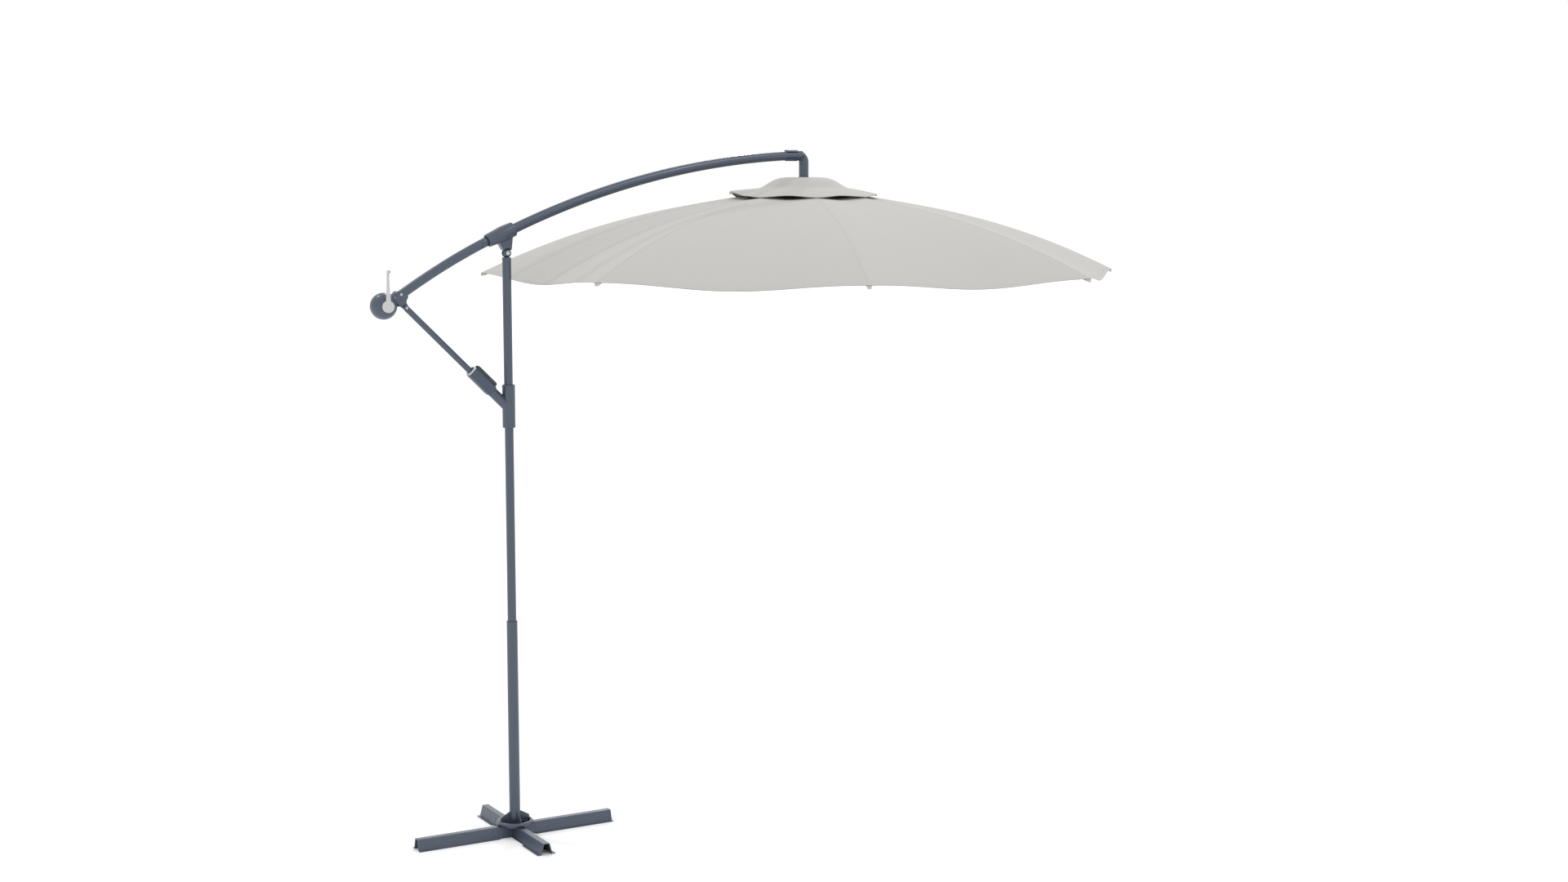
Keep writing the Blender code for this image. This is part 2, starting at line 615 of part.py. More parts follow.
def make_elbow():
    """The elbow clamped on the arm's end, and the drop tube that hangs the canopy from it."""
    bend = arc((REACH - ELBOW_BEND, ELBOW_Z - ELBOW_BEND), ELBOW_BEND, 90, 0, 5)
    path = [(ELBOW_CLAMP_X + 0.005, ELBOW_Z)] + bend + [(REACH, DROP_TOP_Z)]
    elbow = place("elbow", sweep(path, DROP_R, segments=16), GREY_BLUE)
    clamp = disc(ELBOW_CLAMP_R, 0, ELBOW_CLAMP, 16)
    at_clamp = along_x(ELBOW_CLAMP_X, 0, ELBOW_Z)
    boolean(elbow, place("elbow_clamp", clamp, matrix=at_clamp), "UNION")
    inner_r = DROP_R - TUBE_WALL
    at_drop = Matrix.Translation((REACH, 0, 0))
    spigot = disc(inner_r - GAP, DROP_TOP_Z - ELBOW_SPIGOT, DROP_TOP_Z + 0.005, 16)
    boolean(elbow, place("elbow_spigot", spigot, matrix=at_drop), "UNION")
    socket_path = arc_path(arm_high_z, ELBOW_CLAMP_X - 0.02, ARM_END_X + 0.003, 3)
    socket = place("elbow_socket", sweep(socket_path, ARM_HIGH_R + BORE_GAP))
    boolean(elbow, socket, "DIFFERENCE")
    drop = tube(DROP_R, inner_r, HINGE_Z + HUB_BACK + GAP, DROP_TOP_Z - GAP, 16)
    place("drop_tube", drop, GREY_BLUE, at_drop)


def make_bracket():
    """Block around the arm tube, with a lug for the brace rod, and the bolt through both."""
    bracket = place("arm_bracket", prism(BRACKET, -BRACKET_HALF, BRACKET_HALF), GREY_BLUE)
    x, z = BRACE_PIVOT
    round_end = arc((x, z), BRACKET_LUG_R, 215, 400, 6)
    lug = [(x - 0.030, z + 0.012)] + round_end + [(x - 0.004, z + 0.030)]
    boolean(bracket, place("bracket_lug", prism(lug, -LUG_HALF, LUG_HALF)), "UNION")
    bore = sweep(arc_path(arm_low_z, -0.500, -0.380, 3), ARM_LOW_R + BORE_GAP)
    boolean(bracket, place("bracket_bore", bore), "DIFFERENCE")
    holes = (
        ("bracket_bolt_hole", BRACKET_BOLT_R + GAP, BRACKET_BOLT),
        ("bracket_pin_hole", PIN_R, BRACE_PIVOT),
    )
    for name, radius, at in holes:
        tool = place(name, disc(radius, -0.05, 0.05, 10), matrix=along_y(*at))
        boolean(bracket, tool, "DIFFERENCE")
    bolt = rivet(BRACKET_HALF + GAP, BRACKET_BOLT_R, SMALL_HEAD_R, SMALL_HEAD)
    place("bracket_bolt", bolt, STEEL, along_y(*BRACKET_BOLT))


def brace_matrix(offset=0.0):
    """Z axis down the brace, from the brace pivot, shifted by offset towards the mast's top."""
    along = Vector((math.cos(BRACE_ANGLE), 0, -math.sin(BRACE_ANGLE)))
    above = Vector((math.sin(BRACE_ANGLE), 0, math.cos(BRACE_ANGLE)))
    across = above.cross(along)
    turn = Matrix((above, across, along)).transposed().to_4x4()
    origin = Vector((BRACE_PIVOT[0], 0, BRACE_PIVOT[1])) + above * offset
    return Matrix.Translation(origin) @ turn


def make_brace():
    """Rod with a forked top end over the bracket's lug, and the pin through them."""
    profile = [(0, -ROD_NOSE), (ROD_NOSE_R, -ROD_NOSE), (ROD_R, -ROD_SHOULDER),
               (ROD_R, ROD_END), (0, ROD_END)]
    rod = place("brace_rod", lathe(profile, 16, closed=False), GREY_BLUE, brace_matrix())
    wide = 0.03
    slot = box((-wide, -LUG_HALF - GAP, -wide), (wide, LUG_HALF + GAP, ROD_SLOT_END))
    boolean(rod, place("rod_slot", slot, matrix=brace_matrix()), "DIFFERENCE")
    hole = place("rod_pin_hole", disc(PIN_R, -wide, wide, 10), matrix=along_y(*BRACE_PIVOT))
    boolean(rod, hole, "DIFFERENCE")
    for name, low, high in (("front", -wide, -ROD_FLAT), ("back", ROD_FLAT, wide)):
        flat = box((-ROD_FLAT_HALF, low, -0.02), (ROD_FLAT_HALF, high, ROD_FLAT_END))
        boolean(rod, place(f"rod_flat_{name}", flat, matrix=brace_matrix()), "DIFFERENCE")
    pin = rivet(ROD_FLAT + GAP, BRACE_PIN_R, SMALL_HEAD_R, SMALL_HEAD)
    place("brace_pin", pin, STEEL, along_y(*BRACE_PIVOT))


def rounded_box(half, corner, steps=3):
    """Outline of a square with round corners, as (u, v)."""
    outline = []
    for k, (u, v) in enumerate(((1, 1), (-1, 1), (-1, -1), (1, -1))):
        centre = (u * (half - corner), v * (half - corner))
        outline += arc(centre, corner, 90 * k, 90 * k + 90, steps)
    return outline


def make_collar():
    """Sleeve with its stub, the grip around the stub's upper end, the end insert and the lever."""
    along = brace_matrix(BORE_OFFSET)
    collar = place("y_collar", disc(COLLAR_R, COLLAR_BOTTOM_Z, COLLAR_TOP_Z, 24), GREY_BLUE)
    to_mast = -BRACE_PIVOT[0] / math.cos(BRACE_ANGLE)
    stub = disc(STUB_R, GRIP_START + CAP_THICKNESS + 0.004, to_mast - 0.010)
    boolean(collar, place("collar_stub", stub, matrix=along), "UNION")
    bore = disc(BORE_R, 0.30, to_mast - STUB_BORE_STOP, 16)
    boolean(collar, place("stub_bore", bore, matrix=along), "DIFFERENCE")
    mast_bore = disc(UPPER_R + GAP, COLLAR_BOTTOM_Z - OVERRUN, COLLAR_TOP_Z + OVERRUN)
    boolean(collar, place("collar_bore", mast_bore), "DIFFERENCE")

    grip_outline = rounded_box(GRIP_HALF, GRIP_CORNER)
    shell = prism(grip_outline, GRIP_START + CAP_THICKNESS + GAP, GRIP_END, "Z")
    grip = place("grip_body", shell, GREY_BLUE, along)
    hollow = disc(STUB_R + GAP, GRIP_START, GRIP_END + OVERRUN)
    boolean(grip, place("grip_hollow", hollow, matrix=along), "DIFFERENCE")

    cap_outline = rounded_box(GRIP_HALF - CAP_INSET, CAP_CORNER)
    insert = prism(cap_outline, GRIP_START, GRIP_START + CAP_THICKNESS, "Z")
    cap = place("grip_cap", insert, PALE_PLASTIC, along)
    hole = disc(BORE_R, GRIP_START - OVERRUN, GRIP_START + CAP_THICKNESS + OVERRUN, 16)
    boolean(cap, place("cap_hole", hole, matrix=along), "DIFFERENCE")

    bottom = GRIP_HALF + LEVER_LIFT
    top = bottom + LEVER_HEIGHT
    outline = [(bottom, GRIP_START + 0.004), (top, GRIP_START + 0.012), (top, GRIP_END - 0.010),
               (bottom + 0.003, GRIP_END - 0.004), (bottom, GRIP_END - 0.004)]
    place("grip_lever", prism(outline, -LEVER_HALF, LEVER_HALF), DARK_PLASTIC, along)


def make_housing(side, sign):
    """One ball-shaped shell with its half of the neck; sign is -1 for the front and 1 for the back."""
    inner_r, inner_flat = BALL_R - BALL_WALL, BALL_FLAT - FLAT_WALL
    flat_angle = math.degrees(math.asin(BALL_FLAT / BALL_R))
    inner_angle = math.degrees(math.asin(inner_flat / inner_r))
    outer_arc = arc((0, 0), BALL_R, 0, flat_angle, 5)
    inner_arc = arc((0, 0), inner_r, inner_angle, 0, 4)
    outer_arc[0], inner_arc[-1] = (BALL_R, GAP / 2), (inner_r, GAP / 2)
    hole = SHAFT_R + GAP
    bearing = [(hole, BALL_FLAT), (hole, inner_flat)]
    if side == "back":
        blind = BALL_FLAT - BLIND_WALL
        bearing = [(0, BALL_FLAT), (0, blind), (hole, blind), (hole, inner_flat)]
    turn = Matrix.Translation((BALL_X, 0, BALL_Z)) @ Matrix.Rotation(math.radians(-90 * sign), 4, "X")
    profile = outer_arc + bearing + inner_arc
    shell = place(f"crank_housing_{side}", lathe(profile), GREY_BLUE, turn)

    start, end = [(x, arm_low_z(x)) for x in (NECK_START_X, NECK_END_X)]
    length = math.dist(start, end)
    cone = lathe([(0, 0), (NECK_START_R, 0), (NECK_END_R, length), (0, length)], closed=False)
    neck = place(f"neck_{side}", cone, matrix=rod_matrix(start, end))
    half_low, half_high = sorted((sign * GAP / 2, sign * 0.08))
    half = box((-0.60, half_low, 2.0), (-0.35, half_high, 2.3))
    boolean(neck, place(f"neck_half_{side}", half), "INTERSECT")
    boolean(neck, place(f"neck_end_{side}", prism(NECK_EDGE, -0.06, 0.06)), "DIFFERENCE")
    boolean(shell, neck, "UNION")
    bore = sweep(arc_path(arm_low_z, -0.4800, -0.4300, 2), ARM_LOW_R + GAP)
    boolean(shell, place(f"neck_bore_{side}", bore), "DIFFERENCE")


def make_crank():
    """The drum on its shaft, the handle with its disc, and the handle's knob."""
    at_shaft = along_y(BALL_X, BALL_Z)
    at_knob = along_y(BALL_X, KNOB_Z)
    shaft_back, shaft_front = -BALL_FLAT + SHAFT_END_GAP, HANDLE_FACE - HUB_DISC_WEB
    inside = DRUM_HALF - DRUM_FLANGE
    drum = [(0, shaft_back), (SHAFT_R, shaft_back), (SHAFT_R, -DRUM_HALF),
            (DRUM_FLANGE_R, -DRUM_HALF), (DRUM_FLANGE_R, -inside), (DRUM_R, -inside),
            (DRUM_R, inside), (DRUM_FLANGE_R, inside), (DRUM_FLANGE_R, DRUM_HALF),
            (SHAFT_R, DRUM_HALF), (SHAFT_R, shaft_front), (0, shaft_front)]
    place("winding_drum", lathe(drum, 16, closed=False), PALE_PLASTIC, at_shaft)

    back_face = BALL_FLAT + BORE_GAP
    socket_r, socket_end = SHAFT_R + GAP, shaft_front + GAP
    plate = [(0, HANDLE_FACE), (HUB_DISC_R - HUB_DISC_EDGE, HANDLE_FACE),
             (HUB_DISC_R, HANDLE_FACE - HUB_DISC_EDGE), (HUB_DISC_R, back_face),
             (socket_r, back_face), (socket_r, socket_end), (0, socket_end)]
    handle = place("crank_handle", lathe(plate, 24, closed=False), PALE_PLASTIC, at_shaft)
    right = [(BALL_X + half, BALL_Z + rise) for half, rise in HANDLE_PROFILE]
    left = [(BALL_X - half, BALL_Z + rise) for half, rise in HANDLE_PROFILE]
    face = -HANDLE_FACE + HANDLE_ARM_SINK
    arm = prism(right + left[::-1], face, face + HANDLE_ARM)
    boolean(handle, place("handle_arm", arm), "UNION")
    stub = disc(KNOB_STUB_R, HANDLE_FACE - 0.004, HANDLE_FACE + KNOB_STUB, 8)
    boolean(handle, place("handle_stub", stub, matrix=at_knob), "UNION")
    socket = disc(socket_r, 0.03, socket_end, 16)
    boolean(handle, place("handle_shaft_socket", socket, matrix=at_shaft), "DIFFERENCE")

    low, high = HANDLE_FACE + GAP, KNOB_TOP
    knob = [(KNOB_BORE_R, low), (KNOB_R - 0.0014, low), (KNOB_R, low + KNOB_EDGE),
            (KNOB_R, high - KNOB_EDGE), (KNOB_R - 0.0019, high), (KNOB_BORE_R, high)]
    place("crank_knob", lathe(knob, 14), PALE_PLASTIC, at_knob)


def around_canopy(k, radius=0.0, height=0.0):
    """Frame of rib k: X outward along the rib, Y tangential, Z up, moved out and up."""
    turn = Matrix.Rotation(RIB_PHASE + RIB_STEP * k, 4, "Z")
    return Matrix.Translation((REACH, 0, 0)) @ turn @ Matrix.Translation((radius, 0, height))


def make_hub_ring(name, low, high, parent):
    """A disc with eight radial slots and cross holes; its height is measured from the hinge ring."""
    part = place(name, disc(HUB_RADIUS, low, high, 24), DARK_PLASTIC, parent=parent)
    for k in range(RIBS):
        turn = Matrix.Rotation(RIB_PHASE + RIB_STEP * k, 4, "Z")
        slot = box((SLOT_START, -SLOT_HALF, low - OVERRUN), (0.06, SLOT_HALF, high + OVERRUN))
        tool = place(f"{name}_slot_{k + 1}", slot, matrix=turn, parent=parent)
        boolean(part, tool, "DIFFERENCE")
        across = turn @ Matrix.Translation((HINGE_RADIUS, 0, 0)) @ QUARTER_TURN
        hole = disc(TRUNNION_R + GAP, -TRUNNION_HALF - GAP, TRUNNION_HALF + GAP, 6)
        tool = place(f"{name}_hole_{k + 1}", hole, matrix=across, parent=parent)
        boolean(part, tool, "DIFFERENCE")
    return part


def make_hubs():
    """Top hub with a socket in the drop tube, and the runner that hangs below it."""
    top = pivot("top_hub_centre", (REACH, 0, HINGE_Z))
    hub = make_hub_ring("top_hub", -HUB_FACE, HUB_BACK, top)
    spigot = disc(DROP_R - TUBE_WALL - GAP, 0.002, HUB_SPIGOT, 16)
    boolean(hub, place("top_hub_spigot", spigot, parent=top), "UNION")
    low = pivot("runner_centre", (REACH, 0, RUNNER_Z))
    runner = make_hub_ring("runner", -HUB_BACK, HUB_FACE, low)
    boss = disc(RUNNER_BOSS_R, -RUNNER_BOSS, 0.002, 16)
    boolean(runner, place("runner_boss", boss, parent=low), "UNION")
    cord_hole = disc(CORD_HOLE_R, -0.05, 0.05, 8)
    boolean(runner, place("runner_cord_hole", cord_hole, parent=low), "DIFFERENCE")


def rib_beam(start, end, steps):
    """A curved beam along the rib arc between two radii, as a bmesh in the rib's frame."""
    bm = bmesh.new()
    corners = ((-1, -1), (1, -1), (1, 1), (-1, 1))
    sections = []
    for k in range(steps + 1):
        radius = start + (end - start) * k / steps
        slope = math.asin((radius - ARC_CENTRE[0]) / RIB_ARC_R)
        out = Vector((math.sin(slope), 0, math.cos(slope))) * RIB_HALF_HEIGHT
        centre = Vector((radius, 0, arc_height(radius, RIB_ARC_R)))
        section = [centre + out * v + Vector((0, u * RIB_HALF_WIDTH, 0)) for u, v in corners]
        sections.append([bm.verts.new(point) for point in section])
    for low, high in zip(sections, sections[1:]):
        for k in range(4):
            after = (k + 1) % 4
            bm.faces.new((low[k], low[after], high[after], high[k]))
    bm.faces.new(sections[0])
    bm.faces.new(sections[-1])
    return bm


def hinge_end(name, matrix, slope=0.0):
    """Round-ended tongue and its trunnion, as two hidden tools; the matrix puts X outward."""
    reach, half = TONGUE_REACH + 0.004, TONGUE_HALF
    round_end = arc((0, 0), half, 90, 270, 4)
    outline = round_end + [(reach, -half - reach * slope), (reach, half - reach * slope)]
    tongue = place(f"{name}_tongue", prism(outline, -half, half), matrix=matrix)
    pin = disc(TRUNNION_R, -TRUNNION_HALF, TRUNNION_HALF, 6)
    return tongue, place(f"{name}_trunnion", pin, matrix=matrix @ QUARTER_TURN)


def make_rib(k):
    """One rib with its tongue and trunnion at the hub and a rivet hole for its stretcher."""
    name = f"rib_{k + 1}"
    beam = rib_beam(HINGE_RADIUS + TONGUE_REACH, RIB_TIP_RADIUS, 7)
    rib = place(name, beam, GREY_BLUE, around_canopy(k))
    slope = (HINGE_RADIUS - ARC_CENTRE[0]) / RIB_ARC_R
    for tool in hinge_end(name, around_canopy(k, HINGE_RADIUS, HINGE_Z), slope):
        boolean(rib, tool, "UNION")
    hole = disc(TRUNNION_R + GAP, -0.02, 0.02, 6)
    across = around_canopy(k, ATTACH_RADIUS, ATTACH_Z) @ QUARTER_TURN
    boolean(rib, place(f"{name}_rivet_hole", hole, matrix=across), "DIFFERENCE")
    return name


def make_stretcher(k):
    """One stretcher: a fork astride the rib with its rivet, a bar, and a tongue with a trunnion."""
    name = f"stretcher_{k + 1}"
    rise = math.asin((ATTACH_Z - RUNNER_Z) / STRETCHER)
    frame = around_canopy(k, HINGE_RADIUS, RUNNER_Z) @ Matrix.Rotation(-rise, 4, "Y")
    half, slot = RIB_HALF_WIDTH, RIB_HALF_WIDTH + GAP
    cheek = slot + FORK_CHEEK
    start, end = STRETCHER - FORK, STRETCHER + FORK_END
    web = start + FORK_WEB
    bar = box((TONGUE_REACH, -half, -half), (web + 0.001, half, half))
    stretcher = place(name, bar, GREY_BLUE, frame)
    fork = box((start, -cheek, -FORK_HALF_HEIGHT), (end, cheek, FORK_HALF_HEIGHT))
    boolean(stretcher, place(f"{name}_fork", fork, matrix=frame), "UNION")
    opening = box((web, -slot, -0.02), (end + OVERRUN, slot, 0.02))
    boolean(stretcher, place(f"{name}_fork_gap", opening, matrix=frame), "DIFFERENCE")
    for tool in hinge_end(name, frame):
        boolean(stretcher, tool, "UNION")
    rivet_pin = disc(TRUNNION_R, -cheek + 0.001, cheek - 0.001, 6)
    across = around_canopy(k, ATTACH_RADIUS, ATTACH_Z) @ QUARTER_TURN
    boolean(stretcher, place(f"{name}_rivet", rivet_pin, matrix=across), "UNION")
    return name


def canopy_point(radius, share, thickness):
    """Fabric point in a rib's frame: share runs from -1 to 1 between the two neighbouring mid-gores."""
    half_step = RIB_STEP / 2
    angle = share * half_step
    chord = radius * math.cos(half_step) / math.cos(half_step - abs(angle))
    along = radius / CANOPY_RADIUS
    drop = SCALLOP_DROP * along ** 2 * math.sin(abs(share) * math.pi / 2) ** 2
    height = arc_height(radius, FABRIC_R) - drop - thickness
    return Vector((chord * math.cos(angle), chord * math.sin(angle), height))


def make_panel(k, rings=6, strips=2):
    """The fabric that one rib carries, from mid-gore to mid-gore, as a thin closed sheet."""
    bm = bmesh.new()
    margin = 1 - PANEL_MARGIN / RIB_STEP
    shares = [margin * strip / strips for strip in range(-strips, strips + 1)]
    radii = [VENT_RADIUS + (CANOPY_RADIUS - VENT_RADIUS) * ring / rings for ring in range(rings + 1)]
    layers = []
    for thickness in (0.0, FABRIC):
        points = [[canopy_point(radius, share, thickness) for share in shares] for radius in radii]
        layers.append([[bm.verts.new(point) for point in row] for row in points])
    for layer in layers:
        for low, high in zip(layer, layer[1:]):
            for strip in range(2 * strips):
                bm.faces.new((low[strip], low[strip + 1], high[strip + 1], high[strip]))
    last = 2 * strips
    border = [(ring, 0) for ring in range(rings)]
    border += [(rings, strip) for strip in range(last)]
    border += [(ring, last) for ring in range(rings, 0, -1)]
    border += [(0, strip) for strip in range(last, 0, -1)]
    top, under = ([layer[ring][strip] for ring, strip in border] for layer in layers)
    for here in range(len(border)):
        after = (here + 1) % len(border)
        bm.faces.new((top[here], top[after], under[after], under[here]))
    name = f"canopy_panel_{k + 1}"
    place(name, bm, CLOTH, around_canopy(k))
    return name


def make_vent_cap():
    """Hat-shaped cap over the vent, with a scalloped brim and a hole for the drop tube."""
    bm = bmesh.new()
    steps = 4 * RIBS
    layers = []
    for thickness in (0.0, FABRIC):
        layer = []
        for radius, drop in CAP_PROFILE:
            ring = []
            for step in range(steps):
                turn = 2 * math.pi * step / steps
                scallop = math.sin(turn * RIBS / 2) ** 2 * (radius / CAP_RADIUS) ** 2
                reach = radius * (1 - CAP_SCALLOP_IN * scallop)
                x = REACH + reach * math.cos(RIB_PHASE + turn)
                y = reach * math.sin(RIB_PHASE + turn)
                height = CAP_TOP_Z - drop - CAP_SCALLOP_DROP * scallop - thickness
                ring.append(bm.verts.new((x, y, height)))
            layer.append(ring)
        layers.append(layer)
    bands = [pair for layer in layers for pair in zip(layer, layer[1:])]
    bands += [(layers[0][end], layers[1][end]) for end in (0, -1)]
    for low, high in bands:
        for step in range(steps):
            after = (step + 1) % steps
            bm.faces.new((low[step], low[after], high[after], high[step]))
    place("vent_cap", bm, CLOTH)


def build_canopy(tilt):
    """Hubs, ribs, stretchers and fabric, each moving part hung on the pivot of its joint."""
    make_hubs()
    for k in range(RIBS):
        rib_frame = around_canopy(k)
        hinge = pivot(f"rib_hinge_{k + 1}", rib_frame @ Vector((HINGE_RADIUS, 0, HINGE_Z)), tilt)
        hang([make_rib(k), make_panel(k)], hinge)
        attach = rib_frame @ Vector((ATTACH_RADIUS, 0, ATTACH_Z))
        rivet_pivot = pivot(f"stretcher_hinge_{k + 1}", attach, hinge)
        hang([make_stretcher(k)], rivet_pivot)
    runner_hinge = around_canopy(0) @ Vector((HINGE_RADIUS, 0, RUNNER_Z))
    runner_pivot = pivot("runner_hinge", runner_hinge, bpy.data.objects["stretcher_hinge_1"])
    hang(["runner_centre"], runner_pivot)
    make_vent_cap()
    hang(["top_hub_centre", "vent_cap"], tilt)


def build():
    clear_scene()
    make_base()
    make_foot()
    make_centre_bolt()
    make_mast()
    make_saddle()
    make_arm()
    make_elbow()
    make_bracket()
    make_brace()
    make_collar()
    make_housing("front", -1)
    make_housing("back", 1)
    make_crank()
    tilt = pivot("arm_tilt_axis", (0, 0, TILT_Z))
    hang(["arm_saddle", "arm_lower_tube", "coupling_ring", "arm_upper_tube", "elbow", "drop_tube",
          "arm_bracket", "bracket_bolt", "brace_pin", "crank_housing_front",
          "crank_housing_back"], tilt)
    build_canopy(tilt)
    brace = pivot("brace_axis", (BRACE_PIVOT[0], 0, BRACE_PIVOT[1]), tilt)
    hang(["brace_rod"], brace)
    crank = pivot("crank_axis", (BALL_X, 0, BALL_Z), tilt)
    hang(["crank_handle", "winding_drum"], crank)
    knob = pivot("knob_axis", (BALL_X, 0, KNOB_Z), crank)
    hang(["crank_knob"], knob)


build()
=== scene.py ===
"""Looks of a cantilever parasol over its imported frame: fine metalwork, a sewn canopy, studio light.

All places are metres in the frame's own axes: +Z up, the mast on the Z axis, +X towards the canopy,
and the arm in the XZ plane. Rib k's own frame has X outward along the rib and Y across it.
"""
import json
import math
from functools import partial

import bmesh
import bpy
from mathutils import Matrix, Vector


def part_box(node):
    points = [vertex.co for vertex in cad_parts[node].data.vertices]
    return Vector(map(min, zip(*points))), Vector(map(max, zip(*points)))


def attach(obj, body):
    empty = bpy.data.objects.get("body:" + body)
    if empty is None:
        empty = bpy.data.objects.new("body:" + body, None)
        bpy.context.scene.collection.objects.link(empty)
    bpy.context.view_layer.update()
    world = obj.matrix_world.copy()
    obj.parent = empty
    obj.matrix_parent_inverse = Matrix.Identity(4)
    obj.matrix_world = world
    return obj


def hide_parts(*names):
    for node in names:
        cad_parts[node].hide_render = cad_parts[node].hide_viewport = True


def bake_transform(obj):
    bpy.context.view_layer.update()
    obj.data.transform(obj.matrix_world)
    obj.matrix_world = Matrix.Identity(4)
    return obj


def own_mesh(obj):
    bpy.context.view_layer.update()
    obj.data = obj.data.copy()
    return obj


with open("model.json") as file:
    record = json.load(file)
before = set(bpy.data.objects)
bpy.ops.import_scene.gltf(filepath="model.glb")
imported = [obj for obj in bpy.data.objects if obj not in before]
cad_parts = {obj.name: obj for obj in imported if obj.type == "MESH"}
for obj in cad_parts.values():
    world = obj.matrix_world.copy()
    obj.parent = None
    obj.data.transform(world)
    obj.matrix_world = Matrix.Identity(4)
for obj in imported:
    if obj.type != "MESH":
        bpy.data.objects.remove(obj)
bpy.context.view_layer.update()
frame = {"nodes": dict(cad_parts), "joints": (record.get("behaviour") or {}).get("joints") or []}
JOINTS = {joint["name"]: joint for joint in frame["joints"]}
ROOT = "mast"
GAP = 0.0003

# Base and foot
SHEET = 0.003
HAT_HEIGHT, HAT_TOP, HAT_FOOT, HAT_LIP, HUB_LIP = 0.045, 0.0135, 0.0245, 0.038, 0.029
HUB_X, HUB_Y, TONGUE = 0.079, 0.16, 0.05
PAD_RADIUS, PAD_THICKNESS, BOLT_POCKET_R, BOLT_HOLE_R = 0.055, 0.006, 0.015, 0.0063
FOOT_Z, FOOT_TOP, SPIGOT_LENGTH = 0.0453, 0.0503, 0.06
RIM_R, RIM_HALF_WIDTH, RIM_HALF_HEIGHT = 0.0655, 0.008, 0.009
FIN_HALF, FIN_REACH, FIN_TOP_Z, FIN_EDGE_Z = 0.002, 0.0615, 0.0985, 0.076

# Mast and its head
LOWER_R, UPPER_R, WALL = 0.0217, 0.0175, 0.0016
LOWER_TOP_Z, UPPER_BOTTOM_Z, UPPER_TOP_Z = 0.877, 0.7, 2.324
TILT_Z = JOINTS["arm_tilt"]["pos_m"][2]
KNUCKLE_R, KNUCKLE_FLAT, LUG_HALF, LUG_R, PIN_R = 0.0185, 0.0165, 0.005, 0.012, 0.004

# Arm
ARM_LOW_CENTRE, ARM_LOW_RADIUS, ARM_LOW_R = (1.1129, -0.1575), 2.8118, 0.0184
ARM_HIGH_CENTRE, ARM_HIGH_RADIUS, ARM_HIGH_R = (1.4402, -0.7787), 3.5087, 0.019
ARM_START_X, ARM_JOINT_X, RING_END_X, ARM_HIGH_START_X, ARM_END_X = -0.468, -0.106, -0.085, -0.003, 1.34
SADDLE_START, SADDLE_END, SADDLE_BORE = (-0.0804, 2.389), (0.0306, 2.4344), 0.0206
CENTRE = Vector(((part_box("top_hub")[0][0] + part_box("top_hub")[1][0]) / 2, 0, 0))
ELBOW_Z, ELBOW_CLAMP_X, ELBOW_BEND, DROP_R, DROP_TOP_Z = 2.7273, 1.262, 0.028, 0.0203, 2.69

# Bracket, as (x, z, radius of the corner)
BRACKET = ((-0.466, 2.1895, 0.004), (-0.461, 2.2012, 0.004), (-0.4526, 2.2035, 0.006),
           (-0.4168, 2.192, 0.005), (-0.4148, 2.1792, 0.006), (-0.4221, 2.1675, 0.005),
           (-0.4222, 2.1585, 0.003), (-0.4414, 2.142, 0.004), (-0.4507, 2.1444, 0.004))
BRACKET_BOLT, BRACKET_BOLT_R, BRACKET_HALF = (-0.4429, 2.1907), 0.0033, 0.0215

# Brace, collar and grip
BRACE = JOINTS["brace_pivot"]["pos_m"]
BRACE_ANGLE = math.radians(44.6)
ROD_R, ROD_END, BORE_OFFSET, BORE_R, STUB_R = 0.012, 0.46, 0.0034, 0.0163, 0.02
GRIP_START, GRIP_END, GRIP_HALF, CAP_THICKNESS = 0.36, 0.483, 0.0225, 0.006
LEVER_GAP, LEVER_HEIGHT = 0.0045, 0.0085
COLLAR_BOTTOM_Z, COLLAR_TOP_Z, COLLAR_R, COLLAR_LIP = 1.654, 1.824, 0.0257, 0.0012

# Crank
BALL_X, BALL_Z = JOINTS["crank_turn"]["pos_m"][0], JOINTS["crank_turn"]["pos_m"][2]
KNOB_Z = JOINTS["knob_spin"]["pos_m"][2]
BALL_R, BALL_WALL, BALL_FLAT, SHAFT_R, HUB_DISC_R, HANDLE_FACE = 0.052, 0.003, 0.048, 0.007, 0.023, 0.06

# Canopy
RIBS = 8
RIB_STEP = 2 * math.pi / RIBS
WIDEN = math.tan(RIB_STEP / 2)
HINGE = Vector(JOINTS["rib_hinge_1"]["pos_m"])
HINGE_RADIUS, HINGE_Z = (HINGE - CENTRE).xy.length, HINGE.z
RIB_PHASE = math.atan2(HINGE.y, HINGE.x - CENTRE.x)
ATTACH = Vector(JOINTS["stretcher_hinge_1"]["pos_m"])
ATTACH_RADIUS, ATTACH_Z = (ATTACH - CENTRE).xy.length, ATTACH.z
RUNNER_Z = JOINTS["runner_hinge"]["pos_m"][2]
ARC_CENTRE, FABRIC_R, RIB_ARC_R = (-0.03, -0.597), 3.16, 3.15
RIB_HALF_HEIGHT, RIB_HALF_WIDTH, TONGUE_REACH, TONGUE_HALF = 0.0042, 0.004, 0.02, 0.004
FORK_REACH, FORK_HALF, CHEEK = 0.062, 0.0036, 0.0018
RIB_TIP_RADIUS, CANOPY_RADIUS, VENT_RADIUS, CLOTH = 1.346, 1.352, 0.255, 0.0008
SCALLOP_DROP, VENT_SCALLOP, VENT_LIFT = 0.027, 0.02, 0.0065
SEAM_HALF, HEM, VENT_HEM, SEAM_CLOTH, HEM_CLOTH, NET = 0.006, 0.017, 0.013, 0.0007, 0.0006, 0.0005
THREAD_R, STITCHES, STITCH_SHARE = 0.0003, 170, 0.72
